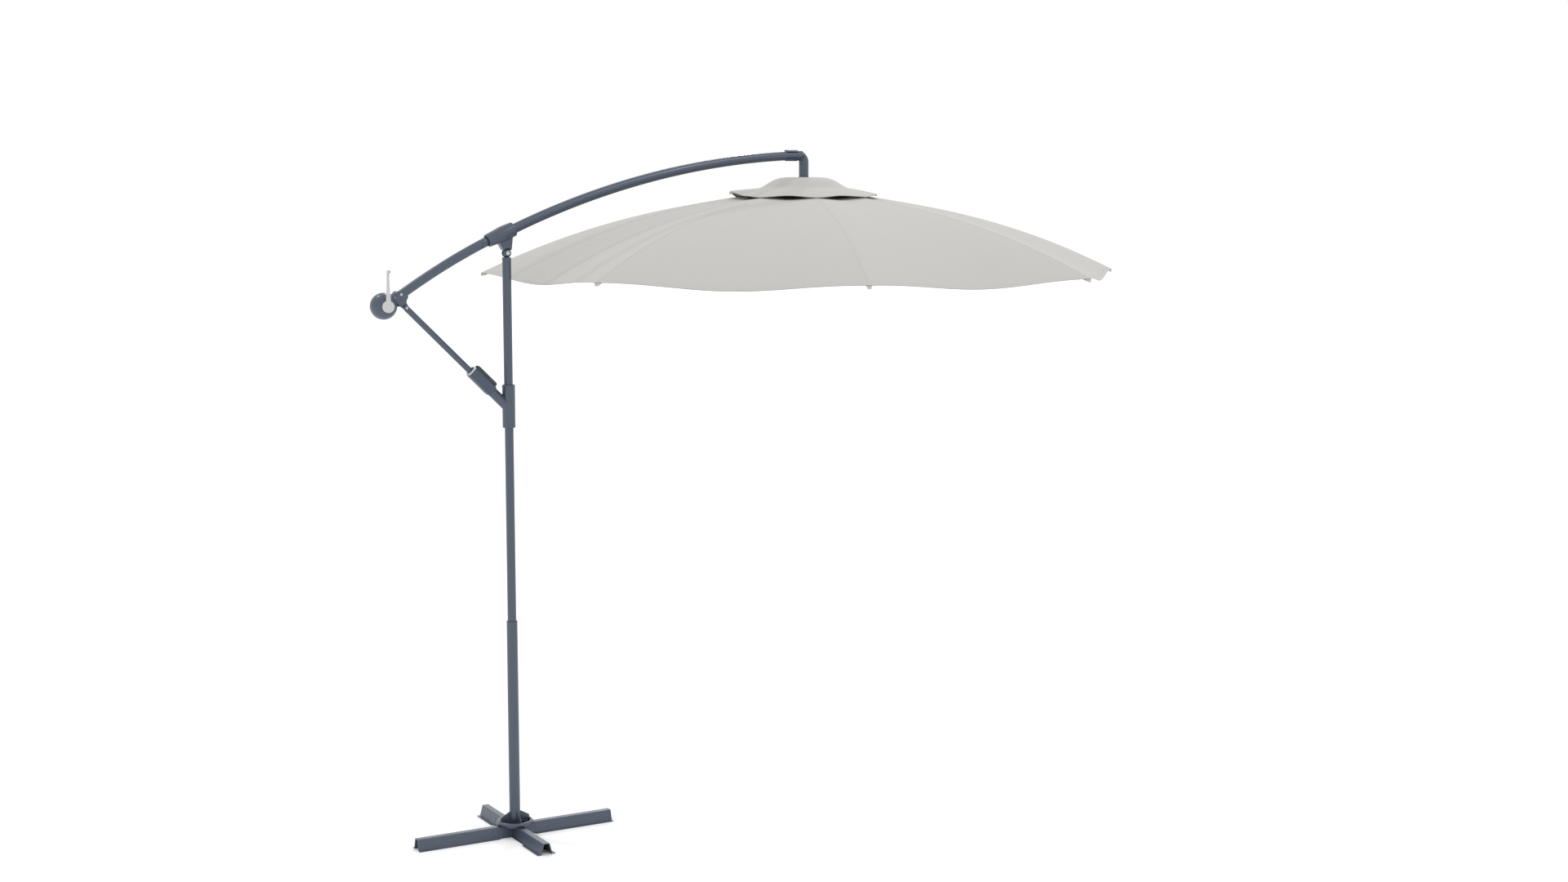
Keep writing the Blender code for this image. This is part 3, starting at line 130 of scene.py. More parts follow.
SEAM_STITCH, SEAM_STITCH_LIFT, HEM_STITCH, HEM_STITCH_LIFT = 0.0042, 0.0009, 0.0145, 0.0011
CAP_RADIUS, CAP_TOP_Z, CROWN_RADIUS, NET_TOP_RADIUS = 0.309, 2.637, 0.122, 0.235
CROWN_FOOT, CROWN_DROP, YOKE_RADIUS = 0.2, 0.047, 0.17
BRIM_RIB_Z = (2.568, 2.5575, 2.557, 2.558, 2.58, 2.5575, 2.557, 2.559)
BRIM_GORE_Z = (2.554, 2.5525, 2.5525, 2.556, 2.562, 2.564, 2.564, 2.561)
BRIM_HEM = (0.009, 0.004, 0.004, 0.004, 0.014, 0.004, 0.004, 0.004)

# Studio: soft parallel lights by azimuth and elevation in degrees, with strength in W/m2
LIGHTS = (("key", 299, 49, 0.36), ("side", 119, 56, 0.34), ("back", 59, 34, 0.4))
LIGHT_ANGLE = math.radians(1.4)
FLOOR_COLOUR, FLOOR_REACH = (0.97, 0.97, 0.97), 60.0
CAMERA_PLACE, CAMERA_DOWN, CAMERA_TURN = (-3.3375, -7.9468, 2.6161), 6.7756, -30.02

FRAME_COLOUR = (0.0465, 0.0655, 0.099)
CLOTH_COLOUR = (0.463, 0.453, 0.435)
PALE_COLOUR = (0.5, 0.5, 0.495)


# ---------------------------------------------------------------- materials

def feed(tree, node, inputs):
    """Set a node's inputs: a (node, output name) pair is linked, and anything else is a constant."""
    for name, value in inputs.items():
        if isinstance(value, tuple) and isinstance(value[1], str):
            tree.links.new(value[0].outputs[value[1]], node.inputs[name])
        else:
            node.inputs[name].default_value = value
    return node


def add(tree, kind, inputs, **settings):
    node = tree.nodes.new(kind)
    for name, value in settings.items():
        setattr(node, name, value)
    return feed(tree, node, inputs)


def new_material(name, colour, inputs):
    made = bpy.data.materials.new(name)
    made.use_nodes = True
    made.diffuse_color = (*colour, 1)
    tree = made.node_tree
    return made, tree, feed(tree, tree.nodes["Principled BSDF"], {"Base Color": (*colour, 1), **inputs})


def shade(tree, share, colour, low, high):
    """A colour made darker or lighter by a share from 0 to 1."""
    dark, light = ((*[c * factor for c in colour], 1) for factor in (low, high))
    return add(tree, "ShaderNodeMix", {"Factor": share, 6: dark, 7: light}, data_type="RGBA"), "Result"


def coordinates(tree, output="Object", scale=(1, 1, 1)):
    source = tree.nodes.new("ShaderNodeTexCoord")
    return add(tree, "ShaderNodeMapping", {"Vector": (source, output), "Scale": scale}), "Vector"


def noise(tree, at, scale, detail, roughness=0.5):
    inputs = {"Vector": at, "Scale": scale, "Detail": detail, "Roughness": roughness}
    return add(tree, "ShaderNodeTexNoise", inputs), "Fac"


def combine(tree, operation, *values):
    return add(tree, "ShaderNodeMath", dict(enumerate(values)), operation=operation), "Value"


def relief_of(tree, height, strength, distance):
    inputs = {"Height": height, "Strength": strength, "Distance": distance}
    return add(tree, "ShaderNodeBump", inputs), "Normal"


def surface(name, colour, roughness, metallic=0.0, coat=0.0, grain=700.0, relief=0.25, mottle=0.05,
            stretch=(1, 1, 1), specular=0.5):
    """Paint, moulded plastic, plated steel or rubber: cloudy colour, uneven gloss and a fine grain."""
    made, tree, shader = new_material(name, colour, {
        "Roughness": roughness, "Metallic": metallic, "Coat Weight": coat, "Coat Roughness": 0.15,
        "Specular IOR Level": specular})
    at = coordinates(tree, scale=stretch)
    clouds, specks = noise(tree, at, 6.0, 4.0, 0.55), noise(tree, at, grain, 2.0, 0.6)
    span = {"From Min": 0.3, "From Max": 0.7, "To Min": roughness - 0.05, "To Max": roughness + 0.06}
    gloss = add(tree, "ShaderNodeMapRange", {"Value": clouds, **span})
    feed(tree, shader, {"Base Color": shade(tree, clouds, colour, 1 - mottle, 1 + mottle),
                        "Roughness": (gloss, "Result"), "Normal": relief_of(tree, specks, relief, 0.00012)})
    return made


def cloth(name, colour):
    """Plain-weave polyester. UV is in metres: U across the piece and V along it."""
    made, tree, shader = new_material(name, colour, {
        "Roughness": 0.86, "Sheen Weight": 0.12, "Sheen Roughness": 0.6, "Specular IOR Level": 0.3})
    flat = coordinates(tree, "UV")
    threads = []
    for direction, stretch in (("X", (1, 0.02, 1)), ("Y", (0.02, 1, 1))):
        inputs = {"Vector": flat, "Scale": 260.0, "Distortion": 0.35, "Detail": 1.0}
        wave = add(tree, "ShaderNodeTexWave", inputs, bands_direction=direction), "Fac"
        slub = noise(tree, coordinates(tree, "UV", stretch), 420.0, 2.0)
        threads.append(combine(tree, "MULTIPLY", wave, slub))
    weave = combine(tree, "MAXIMUM", *threads)
    both = combine(tree, "ADD", weave, noise(tree, coordinates(tree), 2.2, 3.0))
    feed(tree, shader, {"Base Color": shade(tree, both, colour, 0.95, 1.01),
                        "Normal": relief_of(tree, weave, 0.18, 0.00025)})
    return made


LOOKS = {
    "paint": surface("powder_coat", FRAME_COLOUR, 0.35, 0.2, coat=0.15, grain=620, relief=0.1, mottle=0.04,
                     specular=0.75),
    "moulded": surface("moulded_slate", FRAME_COLOUR, 0.44, grain=1400, relief=0.35, mottle=0.03),
    "pale": surface("moulded_pale", PALE_COLOUR, 0.48, grain=1500, relief=0.35, mottle=0.03),
    "dark": surface("moulded_dark", (0.035, 0.039, 0.046), 0.46, grain=1300, relief=0.35, mottle=0.08),
    # near-black and almost without reflection: painted shade for the hollow inside the foot's rim
    "black": surface("foot_liner", (0.004, 0.0045, 0.006), 0.85, grain=900, relief=0.3, mottle=0.1,
                     specular=0.05),
    "steel": surface("zinc_plate", (0.62, 0.62, 0.61), 0.32, 0.85, grain=500, relief=0.2, mottle=0.06,
                     stretch=(1, 4, 1)),
    "rubber": surface("rubber", (0.02, 0.02, 0.021), 0.8, grain=800, relief=0.5, mottle=0.1),
    "cloth": cloth("canopy_weave", CLOTH_COLOUR),
    "seam": cloth("seam_tape", tuple(c * 0.995 for c in CLOTH_COLOUR)),
    # near-black net cloth: painted shade for the gap between the vent and the cap
    "net": cloth("vent_net", (0.018, 0.017, 0.015)),
    "thread": surface("stitching", CLOTH_COLOUR, 0.7, grain=1800, relief=0.4, mottle=0.05),
}


# ---------------------------------------------------------------- geometry helpers

def turned(degrees, axis):
    return Matrix.Rotation(math.radians(degrees), 4, axis)


def along_y(x=0.0, z=0.0):
    return Matrix.Translation((x, 0, z)) @ turned(90, "X")


def rod_matrix(start, end):
    angle = math.atan2(end[0] - start[0], end[1] - start[1])
    return Matrix.Translation((start[0], 0, start[1])) @ Matrix.Rotation(angle, 4, "Y")


def heights(node):
    low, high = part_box(node)
    return low[2], high[2]


def spread(low, high, count, power=1.0):
    return [low + (high - low) * (k / count) ** power for k in range(count + 1)]


def both_sides(inner, outer):
    return (-outer, -inner), (inner, outer)


def circle(segments):
    """Cosine and sine of evenly spaced angles."""
    return [(math.cos(a), math.sin(a)) for a in (2 * math.pi * step / segments for step in range(segments))]


def arc(centre, radius, start, end, steps, rise=None):
    """Points along a circle, or along an ellipse whose vertical radius is rise."""
    angles = [math.radians(a) for a in spread(start, end, steps)]
    return [(centre[0] + radius * math.cos(a), centre[1] + (rise or radius) * math.sin(a)) for a in angles]


def neighbours(points):
    """Each point between the ones before and after it; an end stands in for its missing neighbour."""
    return zip(points[:1] + points, points, points[1:] + points[-1:])


def fillet(corners, steps=4):
    """A closed outline with round corners, from (u, v, radius of the corner)."""
    rounded = []
    spots = [Vector(corner[:2]) for corner in corners]
    for (*_, radius), before, spot, after in zip(corners, spots[-1:] + spots, spots, spots[1:] + spots[:1]):
        if radius <= 0:
            rounded.append(tuple(spot))
            continue
        before, after = (before - spot).normalized(), (after - spot).normalized()
        reach = radius / math.tan(before.angle(after) / 2)
        start, end = spot + before * reach, spot + after * reach
        rounded += [tuple(start * (1 - t) ** 2 + spot * (2 * t * (1 - t)) + end * t ** 2)
                    for t in spread(0, 1, steps)]
    return rounded


def mirrored(half):
    """A closed outline from its right half, listed from bottom to top."""
    return [(-u, *rest) for u, *rest in half] + half[::-1]


def skin(rows, loop=False, wrap=True, caps=(0, -1)):
    """Faces through rows of points; a row of one point is a tip, and loop joins the last row to the first."""
    bm = bmesh.new()
    rings = [[bm.verts.new(point) for point in row] for row in rows]
    for low, high in zip(rings, rings[1:] + rings[:1] if loop else rings[1:]):
        count = max(len(low), len(high))
        for step in range(count if wrap else count - 1):
            after = (step + 1) % count
            corners = [low[step], low[after]] if len(low) > 1 else low[:]
            corners += [high[after], high[step]] if len(high) > 1 else high
            if len(corners) > 2:
                bm.faces.new(corners)
    for end in () if loop else caps:
        if len(rings[end]) > 2:
            bm.faces.new(rings[end])
    return bm


def lathe(profile, segments=64):
    """A solid turned around Z from a profile that starts and ends on the axis, or else a closed ring."""
    rows = [[(r * c, r * s, z) for c, s in circle(segments)] if r > 0 else [(0, 0, z)] for r, z in profile]
    return skin(rows, loop=profile[0][0] > 0)


def prism(outline, low, high, axis="Y"):
    """An outline extruded along an axis: (x, z) pairs for Y, (y, z) for X and (x, y) for Z."""
    at = "XYZ".index(axis)
    return skin([[(*p[:at], s, *p[at:]) for p in outline] for s in (low, high)])


def box(low, high):
    outline = [(low[0], low[2]), (high[0], low[2]), (high[0], high[2]), (low[0], high[2])]
    return prism(outline, low[1], high[1])


def disc(radius, low, high, segments=48):
    return prism(arc((0, 0), radius, 0, 360, segments)[:-1], low, high, "Z")


def tube(outer, inner, low, high, lip=0.0006, segments=64):
    """A tube along Z whose four end edges are slightly rounded."""
    return lathe([(outer - lip, low), (outer, low + lip), (outer, high - lip), (outer - lip, high),
                  (inner + lip, high), (inner, high - lip), (inner, low + lip), (inner + lip, low)], segments)


def block(half_u, half_v, corner, stations, ease=1.0, steps=8):
    """A block along Z with round corners; stations are (height, inset of the sides there)."""
    rows = []
    for z, inset in stations:
        radius, row = corner - inset * ease, []
        u, v = half_u - inset - radius, half_v - inset - radius
        for k, centre in enumerate(((u, v), (-u, v), (-u, -v), (u, -v))):
            row += [(*p, z) for p in arc(centre, radius, 90 * k, 90 * k + 90, steps)]
        rows.append(row)
    return skin(rows)


def sweep(path, outer, inner=0.0, segments=48):
    """A round tube, or a rod where inner is 0, along points in the XZ plane."""
    across = Vector((0, 1, 0))
    rows = {outer: [], inner: []}
    for before, point, after in neighbours([Vector(p) for p in path]):
        normal = (after - before).cross(across).normalized()
        for radius, ring in rows.items():
            ring.append([point + normal * (radius * c) + across * (radius * s) for c, s in circle(segments)])
    return skin(rows[outer] + rows[inner][::-1], loop=True) if inner else skin(rows[outer])


def bead(points, radius, ripple=0.16, pitch=0.003):
    """A weld bead along points, with the ripples of its passes."""
    dense = []
    for start, end in zip(points, points[1:]):
        start, end = Vector(start), Vector(end)
        count = max(2, int((end - start).length / (pitch / 3)))
        dense += [start.lerp(end, k / count) for k in range(count)]
    dense.append(Vector(points[-1]))
    rows = []
    travelled = 0.0
    for before, point, after in neighbours(dense):
        along = (after - before).normalized()
        side = along.orthogonal().normalized()
        travelled += (point - before).length
        size = radius * (1 + ripple * math.sin(2 * math.pi * travelled / pitch))
        size *= 0.35 if point in (before, after) else 1.0
        rows.append([point + side * (size * c) + along.cross(side) * (size * s) for c, s in circle(10)])
    return skin(rows)


def rivet(half_grip, radius, head_radius, head_height, segments=40):
    """A pin along Z with a domed head at both ends."""
    upper = [(radius, half_grip), (head_radius - 0.0003, half_grip)]
    upper += arc((0, half_grip), head_radius, 0, 75, 5, head_height) + [(0, half_grip + head_height)]
    return lathe([(r, -z) for r, z in upper[::-1]] + upper, segments)


def channel(points, half_width, half_height, wall=0.0014):
    """An inverted U section along (x, z) points in the rib's frame, open at the bottom."""
    outer = fillet(mirrored([(half_width, -half_height, 0), (half_width, half_height, 0.0015)]), 3)
    inner = mirrored([(half_width - wall, -half_height), (half_width - wall, half_height - wall)])[::-1]
    rows = []
    for before, (x, z), after in neighbours(points):
        along = Vector((after[0] - before[0], 0, after[1] - before[1])).normalized()
        up = Vector((-along.z, 0, along.x))
        rows.append([Vector((x, v, z)) + up * w for v, w in outer + inner])
    return skin(rows)


def moved(bm, matrix):
    bm.transform(matrix)
    return bm


def join(*shapes):
    """Several bmeshes as one, side by side."""
    whole = bmesh.new()
    for bm in shapes:
        mesh = bpy.data.meshes.new("part")
        bm.to_mesh(mesh)
        bm.free()
        whole.from_mesh(mesh)
        bpy.data.meshes.remove(mesh)
    return whole


def unwrap(bm, flat_of):
    """Metric UV from each corner's place."""
    layer = bm.loops.layers.uv.new("flat")
    for face in bm.faces:
        for corner in face.loops:
            corner[layer].uv = flat_of(corner.vert.co)
    return bm


def linked(name, data):
    made = bpy.data.objects.new(name, data)
    bpy.context.scene.collection.objects.link(made)
    return made


def solid(name, bm, matrix=None):
    """An object from a bmesh, with its faces turned outward."""
    bmesh.ops.recalc_face_normals(bm, faces=bm.faces)
    if matrix:
        bm.transform(matrix)
    mesh = bpy.data.meshes.new(name)
    bm.to_mesh(mesh)
    bm.free()
    return linked(name, mesh)


def place(name, bm, look, body, node=None, matrix=None, bevel=0.0, sharp=38):
    """Turn a bmesh into a smooth-shaded piece that rides on a body and may stand for a CAD node."""
    piece = solid(name, bm, matrix)
    piece.data.materials.append(LOOKS[look])
    finish_shape(piece, bevel, sharp)
    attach(piece, body)
    if node:
        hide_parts(node)
    return piece


def finish_shape(piece, bevel=0.0, sharp=38):
    """Smooth shading, with rounded edges where a bevel width is given."""
    piece.data.shade_smooth()
    if bevel:
        edge = piece.modifiers.new("edges", "BEVEL")
        edge.width = bevel
        edge.segments = 3
        edge.limit_method = "ANGLE"
        edge.angle_limit = math.radians(sharp)
        edge.use_clamp_overlap = True
        even = piece.modifiers.new("even", "WEIGHTED_NORMAL")
        even.keep_sharp = True
    else:
        piece.data.set_sharp_from_angle(angle=math.radians(sharp))


def carve(piece, bm, operation="DIFFERENCE", matrix=None):
    """Cut a piece with another shape, or join or intersect the two."""
    tool = solid("tool", bm, matrix)
    step = piece.modifiers.new("cut", "BOOLEAN")
    step.operation = operation
    step.solver = "EXACT"
    step.object = tool
    bpy.context.view_layer.update()
    piece.data = bpy.data.meshes.new_from_object(piece.evaluated_get(bpy.context.evaluated_depsgraph_get()))
    piece.modifiers.clear()
    bpy.data.objects.remove(tool, do_unlink=True)


def drill(piece, radius, x=0.0, z=0.0, segments=48):
    """A hole through a piece along Y."""
    carve(piece, disc(radius, -0.05, 0.05, segments), matrix=along_y(x, z))


# ---------------------------------------------------------------- base and mast

def hat_outline():
    """Hat section of bent sheet, as (across, height, bend)."""
    outer = [(HAT_LIP, 0, 0.001), (HAT_LIP, SHEET, 0.001), (HAT_FOOT, SHEET, 0.002),
             (HAT_TOP, HAT_HEIGHT, 0.0036)]
    inner = [(HAT_FOOT - SHEET, 0, 0.0026), (HAT_TOP - SHEET, HAT_HEIGHT - SHEET, 0.0012)]
    return fillet(mirrored(outer) + mirrored(inner)[::-1])


def solid_outline(inset, bottom=0.0, bend=0.0036):
    return fillet(mirrored([(HAT_FOOT - inset, bottom, 0), (HAT_TOP - inset, HAT_HEIGHT - inset, bend)]))


def make_base():
    for side, axis in (("left", "X"), ("right", "X"), ("front", "Y"), ("back", "Y")):
        start, end = (corner["XYZ".index(axis)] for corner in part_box(f"base_arm_{side}"))
        place(f"arm_{side}", prism(hat_outline(), start, end, axis), "paint", ROOT, f"base_arm_{side}",
              bevel=0.0006)
    hub = place("hub", prism(solid_outline(0), -HUB_X, HUB_X, "X"), "paint", ROOT, "cross_hub")
    inside = SHEET + GAP
    lips = fillet(mirrored([(HUB_LIP, 0, 0), (HUB_LIP, SHEET, 0.001)]))
    tongue, bore = solid_outline(inside, bend=0.001), solid_outline(inside + SHEET, -0.005, 0.001)
    reach = HUB_X + TONGUE + 0.01
    for bm in (prism(solid_outline(0), -HUB_Y, HUB_Y, "Y"),
               prism(tongue, -HUB_X - TONGUE, HUB_X + TONGUE, "X"),
               prism(tongue, -HUB_Y - TONGUE, HUB_Y + TONGUE, "Y"),
               prism(lips, -HUB_X, HUB_X, "X"),
               prism(lips, -HUB_Y, HUB_Y, "Y"),
               disc(PAD_RADIUS, HAT_HEIGHT - PAD_THICKNESS, HAT_HEIGHT, 64)):
        carve(hub, bm, "UNION")
    for bm in (prism(bore, -reach, reach, "X"),
               prism(bore, -reach - HUB_Y, reach + HUB_Y, "Y"),
               disc(BOLT_POCKET_R, -0.01, HAT_HEIGHT - PAD_THICKNESS - GAP),
               disc(BOLT_HOLE_R, 0, HAT_HEIGHT + 0.01)):
        carve(hub, bm)
    finish_shape(hub, 0.0005)


def make_foot():
    """Plate with a rolled rim, fins and weld beads, and a near-black disc inside the rim as painted shade."""
    spigot_r, spigot_top = LOWER_R - WALL - GAP, FOOT_TOP + SPIGOT_LENGTH
    rim = arc((RIM_R, FOOT_Z + RIM_HALF_HEIGHT), RIM_HALF_WIDTH, -80, 190, 18, RIM_HALF_HEIGHT)
    profile = [(BOLT_HOLE_R, FOOT_Z), (RIM_R, FOOT_Z)] + rim
    profile += [(RIM_R - RIM_HALF_WIDTH + 0.0006, FOOT_TOP), (spigot_r, FOOT_TOP), (spigot_r, spigot_top),
                (BOLT_HOLE_R, spigot_top)]
    place("foot", lathe(profile, 96), "paint", ROOT, "mast_foot", sharp=45)
    root, low = LOWER_R - 0.0005, FOOT_TOP - 0.001
    fin = fillet([(root, low, 0), (root, FIN_TOP_Z, 0.001), (FIN_REACH, FIN_EDGE_Z, 0.004),
                  (FIN_REACH, low, 0)])
    fins, beads = [], []
    for k in range(4):
        turn = turned(90 * k, "Z")
        fins.append(moved(prism(fin, -FIN_HALF, FIN_HALF), turn))
        for y in (-FIN_HALF - GAP, FIN_HALF + GAP):
            flat = [(x, y, FOOT_TOP + 0.0014) for x in (LOWER_R + 0.001, FIN_REACH - 0.003)]
            upright = [(LOWER_R + 0.0002, y, z) for z in (FOOT_TOP + 0.003, FIN_TOP_Z - 0.004)]
            beads += [moved(bead(flat, 0.0014), turn), moved(bead(upright, 0.0013), turn)]
    place("foot_fins", join(*fins), "paint", ROOT, bevel=0.0006)
    ring_r = LOWER_R * 1.03
    ring = [(ring_r * c, ring_r * s, FOOT_TOP + 0.0012) for c, s in circle(48) + circle(48)[:1]]
    place("foot_welds", join(*beads, bead(ring, 0.0017)), "paint", ROOT, sharp=60)
    # A near-black disc inside the rim paints the shade of the rim's hollow.
    inner, outer = LOWER_R + 0.0015, RIM_R - RIM_HALF_WIDTH + 0.0025
    shade_disc = [(inner, 0.0002), (outer, 0.0002), (outer, 0.003), (outer - 0.002, 0.0018),
             (inner + 0.001, 0.0016), (inner, 0.0012)]
    place("foot_liner", lathe([(r, FOOT_TOP + z) for r, z in shade_disc], 64), "black", ROOT)

    bottom, top = heights("centre_bolt")
    head = prism(arc((0, 0), 0.0105, 0, 360, 6)[:-1], bottom, bottom + 0.008, "Z")
    place("hub_bolt", join(head, disc(0.006, bottom + 0.007, top, 32)), "steel", ROOT, "centre_bolt",
          bevel=0.0004)
    place("hub_washer", tube(0.0125, BOLT_HOLE_R, *heights("centre_washer"), 0.0002, 48), "steel", ROOT,
          "centre_washer")
    top = heights("centre_foot")[1]
    tread = [(0, 0.0), (0.0115, 0.0), (0.0125, 0.0008), (0.014, 0.003), (0.014, top - 0.001), (0.0132, top),
             (0, top)]
    place("hub_foot", lathe(tread, 48), "rubber", ROOT, "centre_foot")


def make_mast():
    place("lower_tube", tube(LOWER_R, LOWER_R - WALL, FOOT_TOP + GAP, LOWER_TOP_Z, 0.0007), "paint", ROOT,
          "mast_lower_tube")
    place("upper_tube", tube(UPPER_R, UPPER_R - WALL, UPPER_BOTTOM_Z, UPPER_TOP_Z, 0.0007), "paint", ROOT,
          "mast_upper_tube")
    place("bush", tube(LOWER_R - WALL - GAP, UPPER_R + GAP, *heights("mast_bush"), 0.0005), "dark", ROOT,
          "mast_bush")
    shank = UPPER_R - WALL - GAP
    profile = [(0, UPPER_TOP_Z - 0.045), (shank, UPPER_TOP_Z - 0.045), (shank, UPPER_TOP_Z - 0.003)]
    profile += arc((0, TILT_Z), KNUCKLE_R, -78, 88, 28) + [(0, TILT_Z + KNUCKLE_R)]
    knuckle = place("knuckle", lathe(profile), "paint", ROOT, "mast_knuckle")
    slot = LUG_HALF + GAP
    carve(knuckle, box((-0.03, -slot, TILT_Z - LUG_R - 0.002), (0.03, slot, TILT_Z + 0.03)))
    drill(knuckle, PIN_R + GAP, z=TILT_Z)
    for near, far in both_sides(KNUCKLE_FLAT, 0.03):
        carve(knuckle, box((-0.03, near, TILT_Z - 0.014), (0.03, far, TILT_Z + 0.03)))
    finish_shape(knuckle, 0.0005)
    place("head_pin", rivet(KNUCKLE_FLAT + GAP, PIN_R, 0.008, 0.0028), "pale", ROOT, "tilt_pin",
          along_y(z=TILT_Z), sharp=60)


# ---------------------------------------------------------------- arm

def arc_height(across, centre, radius):
    """Height of the upper half of a circle at a distance across it."""
    return centre[1] + math.sqrt(radius ** 2 - (across - centre[0]) ** 2)


arm_low_z = partial(arc_height, centre=ARM_LOW_CENTRE, radius=ARM_LOW_RADIUS)
arm_high_z = partial(arc_height, centre=ARM_HIGH_CENTRE, radius=ARM_HIGH_RADIUS)
rib_z = partial(arc_height, centre=ARC_CENTRE, radius=RIB_ARC_R)
cloth_z = partial(arc_height, centre=ARC_CENTRE, radius=FABRIC_R)


def arc_path(height, start, end, steps):
    return [(x, 0, height(x)) for x in spread(start, end, steps)]


def make_saddle():
    """Barrel-shaped sleeve, its neck, and the lug in the knuckle's slot."""
    length = math.dist(SADDLE_START, SADDLE_END)
    to_world = rod_matrix(SADDLE_START, SADDLE_END)
    barrel = [(0.0258 + 0.0036 * math.exp(-((t - 0.6) / 0.34) ** 2) + 0.002 * t, 0.003 + (length - 0.006) * t)
              for t in spread(0, 1, 24)]
    mouth = barrel[-1][0]
    profile = [(0, 0), (0.024, 0), (0.0256, 0.0008)] + barrel
    profile += [(mouth - 0.0006, length - 0.0008), (mouth - 0.0024, length), (0, length)]
    saddle = place("saddle", lathe(profile, 72), "paint", "arm", "arm_saddle", to_world)
    neck = fillet([(-0.0175, TILT_Z + 0.0115, 0.001), (-0.0345, 2.38, 0.002), (-0.02, 2.402, 0),
                   (0.015, 2.416, 0), (0.0225, 2.404, 0.002), (0.0165, TILT_Z + 0.0115, 0.001)])
    carve(saddle, prism(neck, -0.0135, 0.0135), "UNION")
    drill(saddle, KNUCKLE_R + 0.001, z=TILT_Z, segments=64)
    lug = [(-0.011, 2.376), (-LUG_R, TILT_Z)] + arc((0, TILT_Z), LUG_R, 190, 350, 16)
    lug += [(LUG_R, TILT_Z), (0.011, 2.376)]
    carve(saddle, prism(lug, -LUG_HALF, LUG_HALF), "UNION")
    carve(saddle, disc(SADDLE_BORE, -0.02, length + 0.02, 64), matrix=to_world)
    drill(saddle, PIN_R + GAP, z=TILT_Z)
    finish_shape(saddle, 0.0009)


def make_arm():
    low_path, high_path = partial(arc_path, arm_low_z), partial(arc_path, arm_high_z)
    place("low_tube", sweep(low_path(ARM_START_X, ARM_JOINT_X, 24), ARM_LOW_R, ARM_LOW_R - WALL),
          "paint", "arm", "arm_lower_tube", bevel=0.0004)
    place("high_tube", sweep(high_path(ARM_HIGH_START_X, ARM_END_X, 72), ARM_HIGH_R, ARM_HIGH_R - WALL),
          "paint", "arm", "arm_upper_tube", bevel=0.0004)
    start, end = (ARM_JOINT_X + GAP, arm_low_z(ARM_JOINT_X)), (RING_END_X, arm_low_z(RING_END_X))
    length = math.dist(start, end)
    spigot = ARM_LOW_R - WALL - 0.0013
    ring = [(0, -0.04), (spigot, -0.04), (spigot, 0), (ARM_LOW_R - 0.0012, 0), (ARM_LOW_R - 0.0003, 0.0006),
            (ARM_LOW_R, 0.0016), (ARM_LOW_R, length - 0.0022), (ARM_LOW_R - 0.0005, length - 0.0008),
            (ARM_LOW_R - 0.0018, length), (spigot, length), (spigot, 0.072), (0, 0.072)]
    place("ring", lathe(ring), "paint", "arm", "coupling_ring", rod_matrix(start, end))

    bend = arc((CENTRE.x - ELBOW_BEND, ELBOW_Z - ELBOW_BEND), ELBOW_BEND, 90, 0, 18)
    path = [(ELBOW_CLAMP_X + 0.005, ELBOW_Z)] + bend + [(CENTRE.x, DROP_TOP_Z)]
    elbow = place("bend", sweep([(x, 0, z) for x, z in path], DROP_R), "paint", "arm", "elbow")
    clamp = [(0, 0), (0.0222, 0), (0.0232, 0.0004), (0.0235, 0.0012), (0.0235, 0.05), (0.023, 0.0535),
             (0.0214, 0.0552), (0, 0.0555)]
    carve(elbow, lathe(clamp), "UNION",
          Matrix.Translation((ELBOW_CLAMP_X, 0, ELBOW_Z)) @ turned(90, "Y"))
    carve(elbow, disc(DROP_R - WALL - GAP, DROP_TOP_Z - 0.03, DROP_TOP_Z + 0.005, 64), "UNION",
          Matrix.Translation(CENTRE))
    near, far = ELBOW_CLAMP_X - 0.01, ARM_END_X + 0.001
    window = fillet([(near, ELBOW_Z - 0.0135, 0), (far, ELBOW_Z - 0.0085, 0.007),
                     (far, ELBOW_Z + 0.014, 0.007), (near, ELBOW_Z + 0.016, 0)])
    carve(elbow, prism(window, -0.03, -0.0115))
    carve(elbow, sweep(high_path(ELBOW_CLAMP_X - 0.02, ARM_END_X + GAP, 12), ARM_HIGH_R + GAP))
    finish_shape(elbow, 0.0005, 50)
    place("drop", tube(DROP_R, DROP_R - WALL, *heights("drop_tube"), 0.0001), "paint", "arm", "drop_tube",
          Matrix.Translation(CENTRE))


def make_bracket():
    bracket = place("bracket", prism(fillet(BRACKET), -BRACKET_HALF, BRACKET_HALF), "paint", "arm",
                    "arm_bracket")
    x, z = BRACE[0], BRACE[2]
    lug = [(x - 0.03, z + 0.012)] + arc((x, z), 0.0105, 215, 400, 20) + [(x - 0.004, z + 0.03)]
    carve(bracket, prism(lug, -LUG_HALF, LUG_HALF), "UNION")
    carve(bracket, sweep(arc_path(arm_low_z, -0.5, -0.38, 8), ARM_LOW_R + 0.0004))
    drill(bracket, BRACKET_BOLT_R, *BRACKET_BOLT, 32)
    drill(bracket, PIN_R, x, z, 32)
    finish_shape(bracket, 0.0011)
    place("bracket_rivet", rivet(BRACKET_HALF + GAP, 0.003, 0.0052, 0.002), "pale", "arm", "bracket_bolt",
          along_y(*BRACKET_BOLT), sharp=60)
    place("brace_rivet", rivet(0.0108, 0.0033, 0.0052, 0.002), "pale", "arm", "brace_pin", along_y(x, z),
          sharp=60)


def brace_matrix(offset=0.0):
    along = Vector((math.cos(BRACE_ANGLE), 0, -math.sin(BRACE_ANGLE)))
    above = Vector((math.sin(BRACE_ANGLE), 0, math.cos(BRACE_ANGLE)))
    turn = Matrix((above, above.cross(along), along)).transposed().to_4x4()
    return Matrix.Translation(Vector((BRACE[0], 0, BRACE[2])) + above * offset) @ turn


